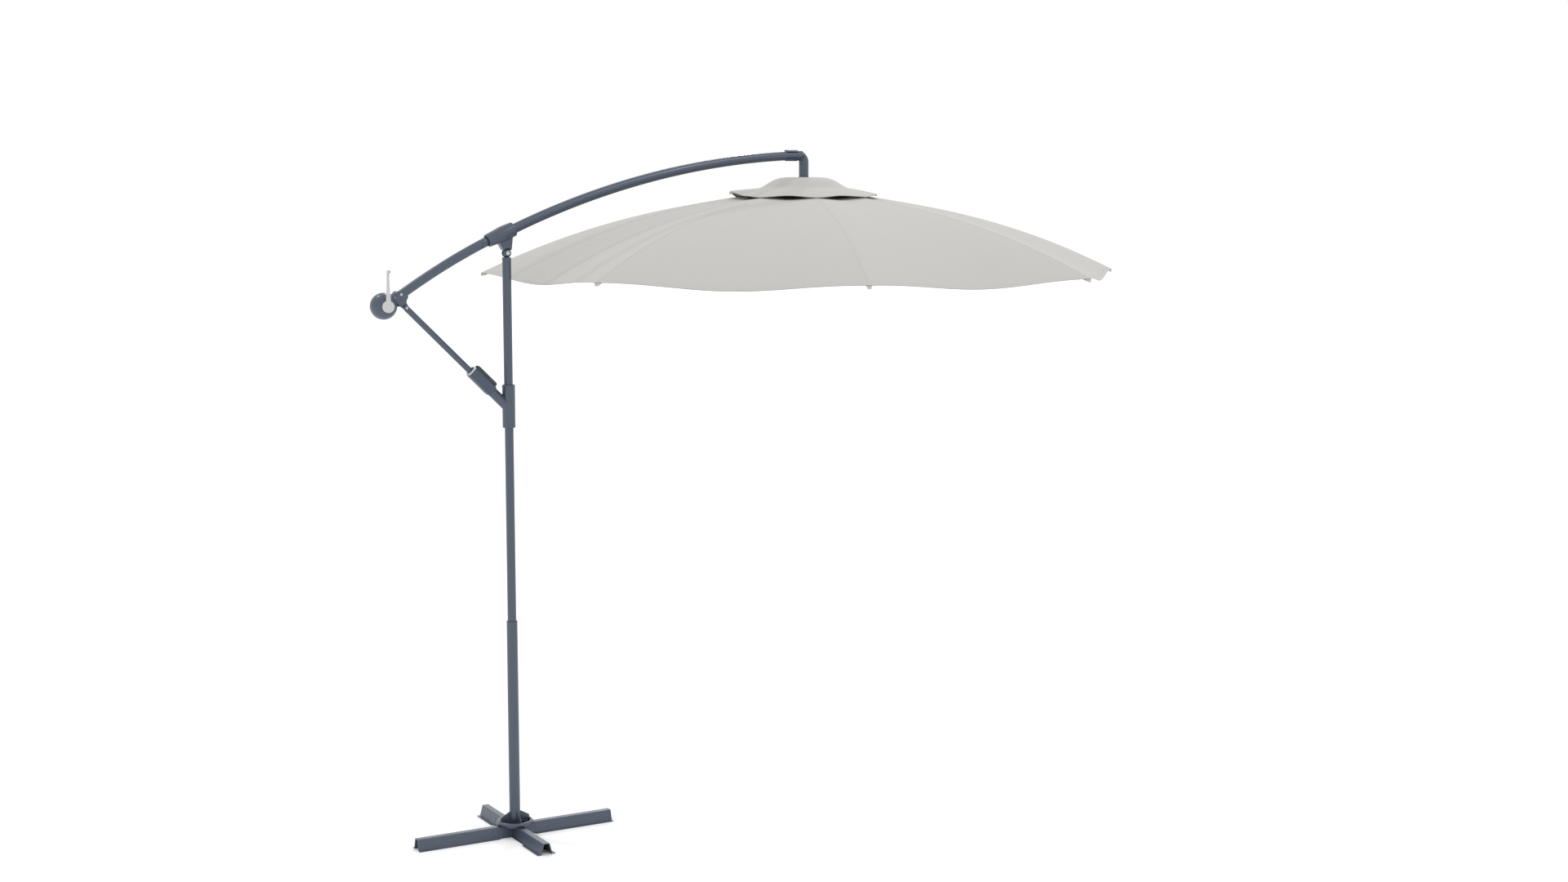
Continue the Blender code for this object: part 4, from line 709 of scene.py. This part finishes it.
def make_brace():
    profile = [(0, -0.015), (0.005, -0.0147), (0.0085, -0.0138), (0.011, -0.012), (ROD_R, -0.0095),
               (ROD_R, ROD_END - 0.001), (ROD_R - 0.001, ROD_END), (0, ROD_END)]
    rod = place("rod", lathe(profile, 56), "paint", "brace", "brace_rod")
    carve(rod, box((-0.03, -LUG_HALF - GAP, -0.03), (0.03, LUG_HALF + GAP, 0.0145)))
    drill(rod, PIN_R, segments=32)
    for near, far in both_sides(0.0105, 0.03):
        carve(rod, box((-0.008, near, -0.02), (0.008, far, 0.0085)))
    finish_shape(rod, 0.0005)
    rod.data.transform(brace_matrix())


def make_collar():
    """Sleeve with its stub, which the mast and the brace rod run through."""
    lip = COLLAR_LIP
    profile = [(0, COLLAR_BOTTOM_Z), (COLLAR_R - lip, COLLAR_BOTTOM_Z),
               (COLLAR_R - lip * 0.3, COLLAR_BOTTOM_Z + lip * 0.3), (COLLAR_R, COLLAR_BOTTOM_Z + lip),
               (COLLAR_R, COLLAR_TOP_Z - lip), (COLLAR_R - lip * 0.3, COLLAR_TOP_Z - lip * 0.3),
               (COLLAR_R - lip, COLLAR_TOP_Z), (0, COLLAR_TOP_Z)]
    collar = place("collar_body", lathe(profile, 72), "paint", "collar", "y_collar")
    to_mast = -BRACE[0] / math.cos(BRACE_ANGLE)
    axis = brace_matrix(BORE_OFFSET)
    carve(collar, disc(STUB_R, GRIP_START + CAP_THICKNESS + 0.004, to_mast - 0.01, 64), "UNION", axis)
    carve(collar, disc(BORE_R, 0.3, to_mast - 0.058, 64), matrix=axis)
    carve(collar, disc(UPPER_R + GAP, COLLAR_BOTTOM_Z - 0.01, COLLAR_TOP_Z + 0.01, 64))
    finish_shape(collar, 0.001)


def make_grip():
    """The moulded grip with its pale insert, and the release lever."""
    axis = brace_matrix(BORE_OFFSET)
    start, end = GRIP_START + CAP_THICKNESS + GAP, GRIP_END
    stations = ((start, 0.0008), (start + 0.0012, 0), (end - 0.006, 0), (end - 0.002, 0.001), (end, 0.0032))
    grip = place("grip", block(GRIP_HALF, GRIP_HALF, 0.0105, stations), "moulded", "collar", "grip_body")
    carve(grip, disc(STUB_R + GAP, GRIP_START, GRIP_END + 0.01, 64))
    carve(grip, box((GRIP_HALF - 0.0016, -0.011, start + 0.003), (0.04, 0.011, end - 0.002)))
    for near, far in both_sides(0.0078, 0.011):
        carve(grip, box((0.0185, near, start + 0.003), (0.04, far, end - 0.002)))
    finish_shape(grip, 0.0005)
    grip.data.transform(axis)

    half, end = GRIP_HALF - 0.0015, GRIP_START + CAP_THICKNESS
    stations = ((GRIP_START, 0.0016), (GRIP_START + 0.0008, 0.0004), (GRIP_START + 0.0016, 0), (end, 0))
    cap = place("grip_insert", block(half, half, 0.0095, stations), "pale", "collar", "grip_cap")
    carve(cap, disc(BORE_R, 0.3, 0.5, 64))
    finish_shape(cap, 0.0004)
    cap.data.transform(axis)

    bottom = GRIP_HALF + LEVER_GAP
    top = bottom + LEVER_HEIGHT
    bar = fillet([(bottom, GRIP_START + 0.004, 0.0005), (top, GRIP_START + 0.012, 0.006),
                  (top, GRIP_END - 0.01, 0.005), (bottom + 0.003, GRIP_END - 0.004, 0.001),
                  (bottom, GRIP_END - 0.004, 0.0005)])
    place("lever_bar", prism(bar, -0.01, 0.01), "dark", "lever", "grip_lever", axis, bevel=0.0016)
    skirt = [(GRIP_HALF + 0.0002, start + 0.005), (bottom + 0.003, start + 0.005),
             (bottom + 0.003, GRIP_END - 0.006), (GRIP_HALF + 0.0002, GRIP_END - 0.006)]
    place("lever_skirts", join(*(prism(skirt, *sides) for sides in both_sides(0.0082, 0.0098))), "dark",
          "lever", matrix=axis)


# ---------------------------------------------------------------- crank

def make_ball():
    """Two shells of the ball, split in the arm's plane, each with half of the neck on the arm."""
    inner_r, inner_flat, hole, seam = BALL_R - BALL_WALL, BALL_FLAT - 0.005, SHAFT_R + GAP, 0.0007
    outer_end = math.degrees(math.asin(BALL_FLAT / BALL_R))
    inner_end = math.degrees(math.asin(inner_flat / inner_r))
    outer = [(BALL_R - seam, GAP / 2), (BALL_R - seam * 0.3, GAP / 2 + seam * 0.4)]
    outer += arc((0, 0), BALL_R, 0.8, outer_end, 28)
    inner = arc((0, 0), inner_r, inner_end, 0, 20)[:-1] + [(inner_r, GAP / 2)]
    blind = BALL_FLAT - 0.0015
    front = outer + [(hole, BALL_FLAT), (hole, inner_flat)] + inner
    back = outer + [(0, BALL_FLAT), (0, blind), (hole, blind), (hole, inner_flat)] + inner
    neck_path = [(x, arm_low_z(x)) for x in (-0.469, -0.44)]
    length = math.dist(*neck_path)
    neck_side = [(0.0285 - 0.007 * t ** 0.6, length * t) for t in spread(0, 1, 10)]
    neck_profile = [(0, 0), *neck_side, (0, length)]
    edge = [(-0.4418, 2.11), (-0.4515, 2.1438), (-0.4668, 2.1893), (-0.4618, 2.2018), (-0.458, 2.23),
            (-0.38, 2.23), (-0.38, 2.11)]
    centre = Matrix.Translation((BALL_X, 0, BALL_Z))
    halves = both_sides(GAP / 2, 0.08)
    for side, profile, angle, (near, far) in zip(("front", "back"), (front, back), (90, -90), halves):
        shell = place(f"ball_{side}", lathe(profile, 72), "paint", "arm", f"crank_housing_{side}",
                      centre @ turned(angle, "X"))
        neck = solid("neck", lathe(neck_profile), rod_matrix(*neck_path))
        finish_shape(neck)
        carve(neck, box((-0.6, near, 2.0), (-0.35, far, 2.3)), "INTERSECT")
        carve(neck, prism(edge, -0.06, 0.06))
        tool = bmesh.new()
        tool.from_mesh(neck.data)
        carve(shell, tool, "UNION")
        bpy.data.objects.remove(neck, do_unlink=True)
        carve(shell, sweep(arc_path(arm_low_z, -0.48, -0.43, 4), ARM_LOW_R + GAP))
        finish_shape(shell, 0.0004, 50)


def make_crank():
    """Hub disc, tapered handle and the small knob at its end; the CAD drum is recoloured."""
    drum = frame["nodes"]["winding_drum"]
    drum.data.materials.clear()
    drum.data.materials.append(LOOKS["pale"])
    back, shaft_end, rim = BALL_FLAT + 0.0005, HANDLE_FACE - 0.003 + GAP, 0.0022
    profile = [(0, HANDLE_FACE), (HUB_DISC_R - rim, HANDLE_FACE)]
    profile += arc((HUB_DISC_R - rim, HANDLE_FACE - rim), rim, 60, 0, 2)
    profile += [(HUB_DISC_R - 0.0004, back + 0.0005), (HUB_DISC_R - 0.0012, back), (SHAFT_R + GAP, back),
                (SHAFT_R + GAP, shaft_end), (0, shaft_end)]
    place("handle", lathe(profile, 72), "pale", "crank", "crank_handle", along_y(BALL_X, BALL_Z))
    rise = KNOB_Z - BALL_Z
    side = [(0.0098, 0.012, 0), (0.0068, rise * 0.45, 0.02), (0.0046, rise - 0.004, 0.01),
            (0.0046, rise + 0.0065, 0.0044)]
    outline = fillet(mirrored(side))
    blade = prism([(BALL_X + u, BALL_Z + v) for u, v in outline], 0.0006 - HANDLE_FACE, 0.0071 - HANDLE_FACE)
    place("handle_blade", blade, "pale", "crank", bevel=0.002, sharp=50)
    to_knob = along_y(BALL_X, KNOB_Z)
    axle = [(0, 0.0), (0.0025, 0.0), (0.0025, 0.0165), (0.0021, 0.017), (0, 0.0172)]
    place("handle_axle", lathe([(r, z + HANDLE_FACE - 0.004) for r, z in axle], 32), "pale", "crank",
          matrix=to_knob)
    knob = [(0.0028, 0), (0.0052, 0), (0.0062, 0.0006), (0.0067, 0.002), (0.0069, 0.005), (0.0069, 0.0087),
            (0.0067, 0.0109), (0.0061, 0.0125), (0.005, 0.0135), (0.004, 0.0137), (0.0028, 0.0137)]
    place("knob", lathe([(r, z + HANDLE_FACE + GAP) for r, z in knob], 48), "pale", "knob", "crank_knob",
          to_knob)


# ---------------------------------------------------------------- canopy frame

def rib_turn(k):
    return Matrix.Rotation(RIB_PHASE + RIB_STEP * k, 4, "Z")


def around_canopy(k, radius=0.0, height=0.0):
    return Matrix.Translation(CENTRE) @ rib_turn(k) @ Matrix.Translation((radius, 0, height))


def ring_with_slots(name, profile, height, body, node):
    """A moulded disc with a radial slot and a cross pin for each rib or stretcher."""
    part = place(name, lathe(profile, 96), "dark", body, node)
    for k in range(RIBS):
        carve(part, moved(box((0.029, -0.0043, -0.02), (0.06, 0.0043, 0.02)), rib_turn(k)))
    finish_shape(part)
    part.data.transform(Matrix.Translation(CENTRE + Vector((0, 0, height))))
    pins = [moved(disc(0.0019, -0.0098, 0.0098, 16), around_canopy(k, HINGE_RADIUS, height) @ turned(90, "X"))
            for k in range(RIBS)]
    place(f"{name}_pins", join(*pins), "steel", body)


def make_hubs():
    spigot = DROP_R - WALL - GAP
    top = [(0, -0.006), (0.05, -0.006), (0.0515, -0.0045), (0.0515, 0.0085), (0.05, 0.01), (spigot, 0.01),
           (spigot, 0.044), (spigot - 0.001, 0.045), (0, 0.045)]
    ring_with_slots("crown_hub", top, HINGE_Z, "arm", "top_hub")
    low = [(0, -0.03), (0.0185, -0.03), (0.02, -0.0285), (0.02, -0.0125), (0.0225, -0.01), (0.05, -0.01),
           (0.0515, -0.0085), (0.0515, 0.0045), (0.05, 0.006), (0, 0.006)]
    ring_with_slots("runner_hub", low, RUNNER_Z, "runner", "runner")


def hinge_tongue(slope, reach=TONGUE_REACH + 0.006):
    outline = arc((0, 0), TONGUE_HALF, 90, 270, 10)
    outline += [(reach, -TONGUE_HALF - reach * slope), (reach, TONGUE_HALF - reach * slope)]
    return prism(outline, -TONGUE_HALF + 0.0002, TONGUE_HALF - 0.0002)


def make_rib(k):
    rib_frame = around_canopy(k)
    radii = spread(HINGE_RADIUS + TONGUE_REACH, RIB_TIP_RADIUS - 0.01, 48)
    beam = channel([(r, rib_z(r)) for r in radii], RIB_HALF_WIDTH, RIB_HALF_HEIGHT)
    slope = (HINGE_RADIUS - ARC_CENTRE[0]) / RIB_ARC_R
    tongue = moved(hinge_tongue(slope), Matrix.Translation((HINGE_RADIUS, 0, HINGE_Z)))
    place(f"rib_beam_{k + 1}", moved(join(beam, tongue), rib_frame), "paint", f"rib_{k + 1}",
          f"rib_{k + 1}", bevel=0.0003)
    tip_start = RIB_TIP_RADIUS - 0.024
    lean = math.degrees(math.asin((tip_start - ARC_CENTRE[0]) / RIB_ARC_R))
    tip = Matrix.Translation((tip_start, 0, rib_z(tip_start))) @ turned(90 + lean, "Y")
    stations = ((0.0, 0.0012), (0.0015, 0.0), (0.02, 0.0), (0.0245, 0.0012), (0.0262, 0.0034))
    cap = block(0.0056, 0.0052, 0.0036, stations, 0.5, 4)
    place(f"rib_tip_{k + 1}", cap, "moulded", f"rib_{k + 1}", matrix=rib_frame @ tip, sharp=50)


def make_stretcher(k):
    """A channel with a tongue at the runner, and a riveted fork around the rib."""
    length = math.dist((HINGE_RADIUS, RUNNER_Z), (ATTACH_RADIUS, ATTACH_Z))
    rise = math.asin((ATTACH_Z - RUNNER_Z) / length)
    to_world = around_canopy(k, HINGE_RADIUS, RUNNER_Z) @ Matrix.Rotation(-rise, 4, "Y")
    half, inside, start, end = RIB_HALF_WIDTH, RIB_HALF_WIDTH + GAP, length - FORK_REACH, length + FORK_HALF
    bar = channel([(x, 0) for x in spread(TONGUE_REACH, start + 0.01, 6)], half, half)
    cheek = fillet([(start, -FORK_HALF, 0.0012), (start, FORK_HALF, 0.0012), (end, FORK_HALF, 0.0035),
                    (end, -FORK_HALF, 0.0035)], 6)
    cheeks = [prism(cheek, *sides) for sides in both_sides(inside, inside + CHEEK)]
    bridge = box((start + 0.0005, -inside, -0.0034), (start + 0.009, inside, 0.0034))
    name, body = f"strut_{k + 1}", f"stretcher_{k + 1}"
    place(name, moved(join(bar, hinge_tongue(0.0), *cheeks, bridge), to_world), "paint", body, body,
          bevel=0.0003)
    place(f"{name}_rivet", rivet(inside + 0.0017, 0.0018, 0.0026, 0.0009, 24), "steel", body,
          matrix=around_canopy(k, ATTACH_RADIUS, ATTACH_Z) @ turned(90, "X"), sharp=60)


# ---------------------------------------------------------------- canopy cloth

def gore_dip(share):
    return math.sin(min(abs(share), 1.0) * math.pi / 2) ** 2


def canopy_point(radius, share):
    """Middle of the cloth in a rib's frame; share runs from -1 to 1 between neighbouring mid-gores."""
    half_step = RIB_STEP / 2
    angle = share * half_step
    chord = radius * math.cos(half_step) / math.cos(half_step - abs(angle))
    drop = SCALLOP_DROP * (radius / CANOPY_RADIUS) ** 2 * gore_dip(share)
    lift = VENT_LIFT * math.exp(-((radius - VENT_RADIUS) / 0.14) ** 2) * (1 - 1.1 * gore_dip(share))
    height = cloth_z(radius) - drop + lift
    return Vector((chord * math.cos(angle), chord * math.sin(angle), height))


def vent_edge(inset, share):
    """Radius of a line at a distance outside the vent's scalloped edge."""
    return VENT_RADIUS + VENT_SCALLOP * gore_dip(share) + inset


def gore_radius(t, share):
    """Radius at a share t of the way from the vent's edge to the rim."""
    start = vent_edge(0, share)
    return start + (CANOPY_RADIUS - start) * t


def crown_drop(radius):
    """How far the cap's bell-shaped crown has fallen at a radius."""
    share = min(radius / CROWN_FOOT, 1.0)
    return CROWN_DROP * (share * share * (3 - 2 * share)) ** 3.6


def cap_point(k, radius, share):
    """Middle of the vent cap's cloth in rib k's frame: a bell, then a brim with an uneven edge."""
    dip = gore_dip(share)
    gore = k if share > 0 else k - 1
    edge = BRIM_RIB_Z[k] * (1 - dip) + BRIM_GORE_Z[gore] * dip
    out = max(0.0, (radius - CROWN_FOOT) / (CAP_RADIUS - CROWN_FOOT))
    height = CAP_TOP_Z - crown_drop(radius) + (edge - CAP_TOP_Z + CROWN_DROP) * out ** 1.15
    reach = radius * (1 - 0.07 * dip * max(0.0, (radius - CROWN_RADIUS) / (CAP_RADIUS - CROWN_RADIUS)))
    angle = share * RIB_STEP / 2
    return Vector((reach * math.cos(angle), reach * math.sin(angle), height))


def brim_curl(k, t, share):
    """The brim's hem: it turns down and under over the last few millimetres."""
    edge = cap_point(k, CAP_RADIUS, share)
    depth = 0.003 + (BRIM_HEM[k] - 0.003) * math.exp(-(share / 0.22) ** 2)
    out = Vector((edge.x, edge.y, 0)).normalized()
    angle = t * 2.4
    fall = Vector((0, 0, 0.58 * depth * (1 - math.cos(angle))))
    return edge + out * (0.45 * depth * math.sin(angle)) - fall


def vent_net(k, t, share):
    """Net that closes the gap between the vent's edge and the underside of the cap; its near-black colour is
    painted shade in that gap.
    """
    low = canopy_point(vent_edge(0.004, share), share) - Vector((0, 0, 0.0012))
    high = cap_point(k, NET_TOP_RADIUS, share) - Vector((0, 0, 0.0022))
    return low.lerp(high, t)


def seam_point(radius, share):
    """Tape over the seam on the rib, raised a little in its middle."""
    rise = Vector((0, 0, 0.0004 * (1 - share ** 4)))
    return canopy_point(radius, share * SEAM_HALF / (radius * WIDEN)) + rise


def normal_at(point, radius, share, side=1e-4):
    """Unit normal of a surface given by point(radius, share), pointing up."""
    across = point(radius, min(share + side, 1.0)) - point(radius, max(share - side, -1.0))
    along = point(radius + side, share) - point(radius - side, share)
    return along.cross(across).normalized()


def lifted(radius, share, lift=CLOTH * 0.85):
    """The canopy's surface, raised along its normal."""
    return canopy_point(radius, share) + normal_at(canopy_point, radius, share) * lift


def across_gore(count):
    """Shares from -1 to 1, denser beside the rib where the cloth creases."""
    half = spread(0, 1, count, 1.25)
    return [-s for s in half[:0:-1]] + half


def cloth_piece(name, look, point, radii, shares, body, to_world, thickness=CLOTH, edge_of=None):
    """A two-faced sheet over a grid of radius and share, with its normals and metric UV."""
    points, normals, flat = [], [], []
    turn = to_world.to_3x3()
    for side in (1, -1):
        for row in radii:
            for share in shares:
                radius = edge_of(row, share) if edge_of else row
                normal = normal_at(point, radius, share)
                points.append(to_world @ (point(radius, share) + normal * (thickness / 2 * side)))
                normals.append(turn @ (normal * side))
                flat.append((share * radius * WIDEN, radius))
    columns, size = len(shares), len(radii) * len(shares)
    faces = []
    for a in range(size - columns):
        if (a + 1) % columns:
            b, c, d = a + 1, a + columns + 1, a + columns
            faces += [(a, d, c, b), (a + size, b + size, c + size, d + size)]
    border = [*range(columns), *range(2 * columns - 1, size, columns),
              *range(size - 2, size - columns - 1, -1), *range(size - 2 * columns, 0, -columns)]
    faces += [(a, b, b + size, a + size) for a, b in zip(border, border[1:] + border[:1])]
    mesh = bpy.data.meshes.new(name)
    mesh.from_pydata(points, [], faces)
    layer = mesh.uv_layers.new(name="flat")
    for corner in mesh.loops:
        layer.data[corner.index].uv = flat[corner.vertex_index]
    mesh.shade_smooth()
    mesh.normals_split_custom_set_from_vertices(normals)
    mesh.materials.append(LOOKS[look])
    piece = linked(name, mesh)
    if body:
        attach(piece, body)
    return piece


def make_panel(k):
    """Cloth over one rib from mid-gore to mid-gore, with its seam, hems, stitching and pocket."""
    label, body, to_world = k + 1, f"rib_{k + 1}", around_canopy(k)
    rows, columns = ((56, 22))
    shares = across_gore(columns)
    sew = partial(cloth_piece, body=body, to_world=to_world)
    panel = sew(f"panel_{label}", "cloth", canopy_point, spread(0, 1, rows), shares, edge_of=gore_radius)
    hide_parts(f"canopy_panel_{label}")
    along_rib = spread(VENT_RADIUS + 0.002, CANOPY_RADIUS - 0.001, rows)
    parts = [sew(f"seam_{label}", "seam", seam_point, along_rib, [-1, -0.9, -0.5, 0, 0.5, 0.9, 1],
                 thickness=SEAM_CLOTH)]
    rim = spread(CANOPY_RADIUS - HEM, CANOPY_RADIUS, 4)
    sew = partial(sew, shares=shares, thickness=HEM_CLOTH)
    parts += [sew(f"hem_top_{label}", "seam", lifted, rim),
              sew(f"hem_under_{label}", "seam", partial(lifted, lift=-CLOTH * 0.85), rim),
              sew(f"vent_hem_{label}", "seam", lifted, spread(0, VENT_HEM, 3), edge_of=vent_edge),
              sew(f"vent_net_{label}", "net", partial(vent_net, k), spread(0, 1, 4), thickness=NET),
              make_pocket(k, to_world, body),
              make_stitching(k, to_world, body)]
    for piece in [panel, *parts]:
        fold(piece)


def stitches(rows):
    """Short raised threads; each row is a list of (point, normal) pairs, two for every thread."""
    bm = bmesh.new()
    for row in rows:
        for (start, up), (end, after) in zip(row[::2], row[1::2]):
            side = (end - start).cross(up).normalized() * THREAD_R
            tips = [bm.verts.new(start), bm.verts.new(end)]
            ring = [bm.verts.new((start + end) / 2 + offset)
                    for offset in (side, up * THREAD_R, -side, up * -THREAD_R)]
            for near, far in zip(ring, ring[1:] + ring[:1]):
                bm.faces.new((tips[0], near, far))
                bm.faces.new((tips[1], far, near))
    return bm


def stitch_row(place_at, lift):
    """A row of threads along place_at(t), which gives (radius, share) for t from 0 to 1."""
    row = []
    for step in range(STITCHES):
        for t in (step / STITCHES, (step + STITCH_SHARE) / STITCHES):
            radius, share = place_at(t)
            up = normal_at(canopy_point, radius, share)
            row.append((canopy_point(radius, share) + up * lift, up * math.copysign(1, lift)))
    return row


def beside_seam(side, t):
    radius = VENT_RADIUS + 0.004 + (CANOPY_RADIUS - VENT_RADIUS - 0.008) * t
    return radius, side / (radius * WIDEN)


def in_hem(t):
    return CANOPY_RADIUS - HEM_STITCH, -0.985 + 1.97 * t


def make_stitching(k, to_world, body):
    """Two rows beside the seam over the rib, and one row in the hem on both faces."""
    rows = [stitch_row(partial(beside_seam, side), SEAM_STITCH_LIFT) for side in (-SEAM_STITCH, SEAM_STITCH)]
    rows += [stitch_row(in_hem, lift) for lift in (HEM_STITCH_LIFT, -HEM_STITCH_LIFT)]
    return place(f"stitching_{k + 1}", stitches(rows), "thread", body, matrix=to_world, sharp=80)


def make_pocket(k, to_world, body):
    """A small folded pocket below the rim that holds the rib's tip."""
    rows = []
    for t in spread(0, 1, 8):
        radius = RIB_TIP_RADIUS - 0.011 + (CANOPY_RADIUS - RIB_TIP_RADIUS + 0.0105) * t
        depth, half = 0.015 - 0.002 * t, 0.0105 - 0.001 * t
        rows.append([])
        for angle in (math.radians(a) for a in range(180, 361, 12)):
            u = half * math.cos(angle)
            top = canopy_point(radius, u / (radius * WIDEN)).z - 0.0011
            rows[-1].append((radius, u, top + depth * max(-1.0, 1.2 * math.sin(angle))))
    bm = unwrap(skin(rows, wrap=False, caps=(-1,)), lambda at: (at.y + at.z, at.x))
    piece = place(f"pocket_{k + 1}", bm, "seam", body, matrix=to_world, sharp=60)
    wall = piece.modifiers.new("wall", "SOLIDIFY")
    wall.thickness = 0.0009
    wall.offset = 0.0
    return piece


def fold(piece):
    """Give a cloth piece a mesh of its own."""
    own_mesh(piece)


def make_vent_cap():
    """Crown that stays on the arm, yoke sectors that stay put, and brim sectors that fold with the ribs."""
    rows, columns = ((26, 12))
    shares = across_gore(columns)
    for k in range(RIBS):
        label, body, to_world, point = k + 1, f"rib_{k + 1}", around_canopy(k), partial(cap_point, k)
        sew = partial(cloth_piece, shares=shares, to_world=to_world)
        yoke = sew(f"yoke_{label}", "cloth", point, spread(CROWN_RADIUS, YOKE_RADIUS, rows // 2), body=None)
        start, end = (tuple(to_world @ point(radius, 0.0)) for radius in (CROWN_RADIUS, YOKE_RADIUS))
        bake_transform(yoke)
        sew = partial(sew, body=body)
        brim = sew(f"brim_{label}", "cloth", point, spread(YOKE_RADIUS, CAP_RADIUS, rows))
        hem = sew(f"brim_hem_{label}", "seam", partial(brim_curl, k), spread(0, 1, 6), thickness=0.001)
        for piece in (brim, hem):
            fold(piece)
    make_crown()


def make_crown():
    """The round middle of the cap, with a grommet where the drop tube passes."""
    top = partial(cap_point, 0)
    section = []
    for side in (1, -1):
        wall = [top(radius, 0.0) + normal_at(top, radius, 0.0) * (CLOTH / 2 * side)
                for radius in spread(DROP_R + 0.0007, CROWN_RADIUS, 14)]
        section += wall[::side]
    bm = moved(lathe([(point.x, point.z) for point in section], 96), around_canopy(0))
    crown = place("cap_crown", unwrap(bm, lambda at: (at.x - CENTRE.x, at.y)), "cloth", "arm", "vent_cap",
                  sharp=60)
    grommet = [(0.0002, -0.003), (0.0022, -0.0026), (0.0024, 0.0008), (0.0018, 0.0014), (0.0002, 0.0014)]
    place("cap_grommet", lathe([(DROP_R + u, CAP_TOP_Z + v) for u, v in grommet], 64), "dark", "arm",
          matrix=Matrix.Translation(CENTRE))


# ---------------------------------------------------------------- studio

def make_studio():
    """Pale floor, soft lights, and the camera."""
    scene = bpy.context.scene
    world = bpy.data.worlds.new("studio")
    scene.world = world
    world.use_nodes = True
    feed(world.node_tree, world.node_tree.nodes["Background"], {"Color": (1.0, 1.0, 1.0, 1), "Strength": 1.0})
    scene.view_settings.view_transform = "Standard"

    look, tree, shader = new_material("studio_floor", FLOOR_COLOUR, {"Roughness": 0.9})
    clouds = noise(tree, coordinates(tree), 1.5, 2.0)
    feed(tree, shader, {"Base Color": shade(tree, clouds, FLOOR_COLOUR, 0.995, 1.005)})
    mesh = bpy.data.meshes.new("studio_floor")
    corners = [(x * FLOOR_REACH, y * FLOOR_REACH, 0) for x, y in ((-1, -1), (1, -1), (1, 1), (-1, 1))]
    mesh.from_pydata(corners, [], [(0, 1, 2, 3)])
    mesh.materials.append(look)
    linked("studio_floor", mesh)

    for name, azimuth, elevation, strength in LIGHTS:
        lamp = bpy.data.lights.new(name, "SUN")
        lamp.energy = strength
        lamp.angle = LIGHT_ANGLE
        linked(name, lamp).rotation_euler = (math.radians(90 - elevation), 0, math.radians(azimuth + 90))

    lens = bpy.data.cameras.new("camera")
    lens.lens = 50.0
    lens.sensor_width = 36.0
    camera = linked("camera", lens)
    camera.location = CAMERA_PLACE
    camera.rotation_euler = (math.radians(90 - CAMERA_DOWN), 0, math.radians(CAMERA_TURN))
    scene.camera = camera


def build():
    for make in (make_studio, make_base, make_foot, make_mast, make_saddle, make_arm, make_bracket,
                 make_brace, make_collar, make_grip, make_ball, make_crank, make_hubs):
        make()
    for k in range(RIBS):
        for make in (make_rib, make_stretcher, make_panel):
            make(k)
    make_vent_cap()


build()
bpy.context.view_layer.update()
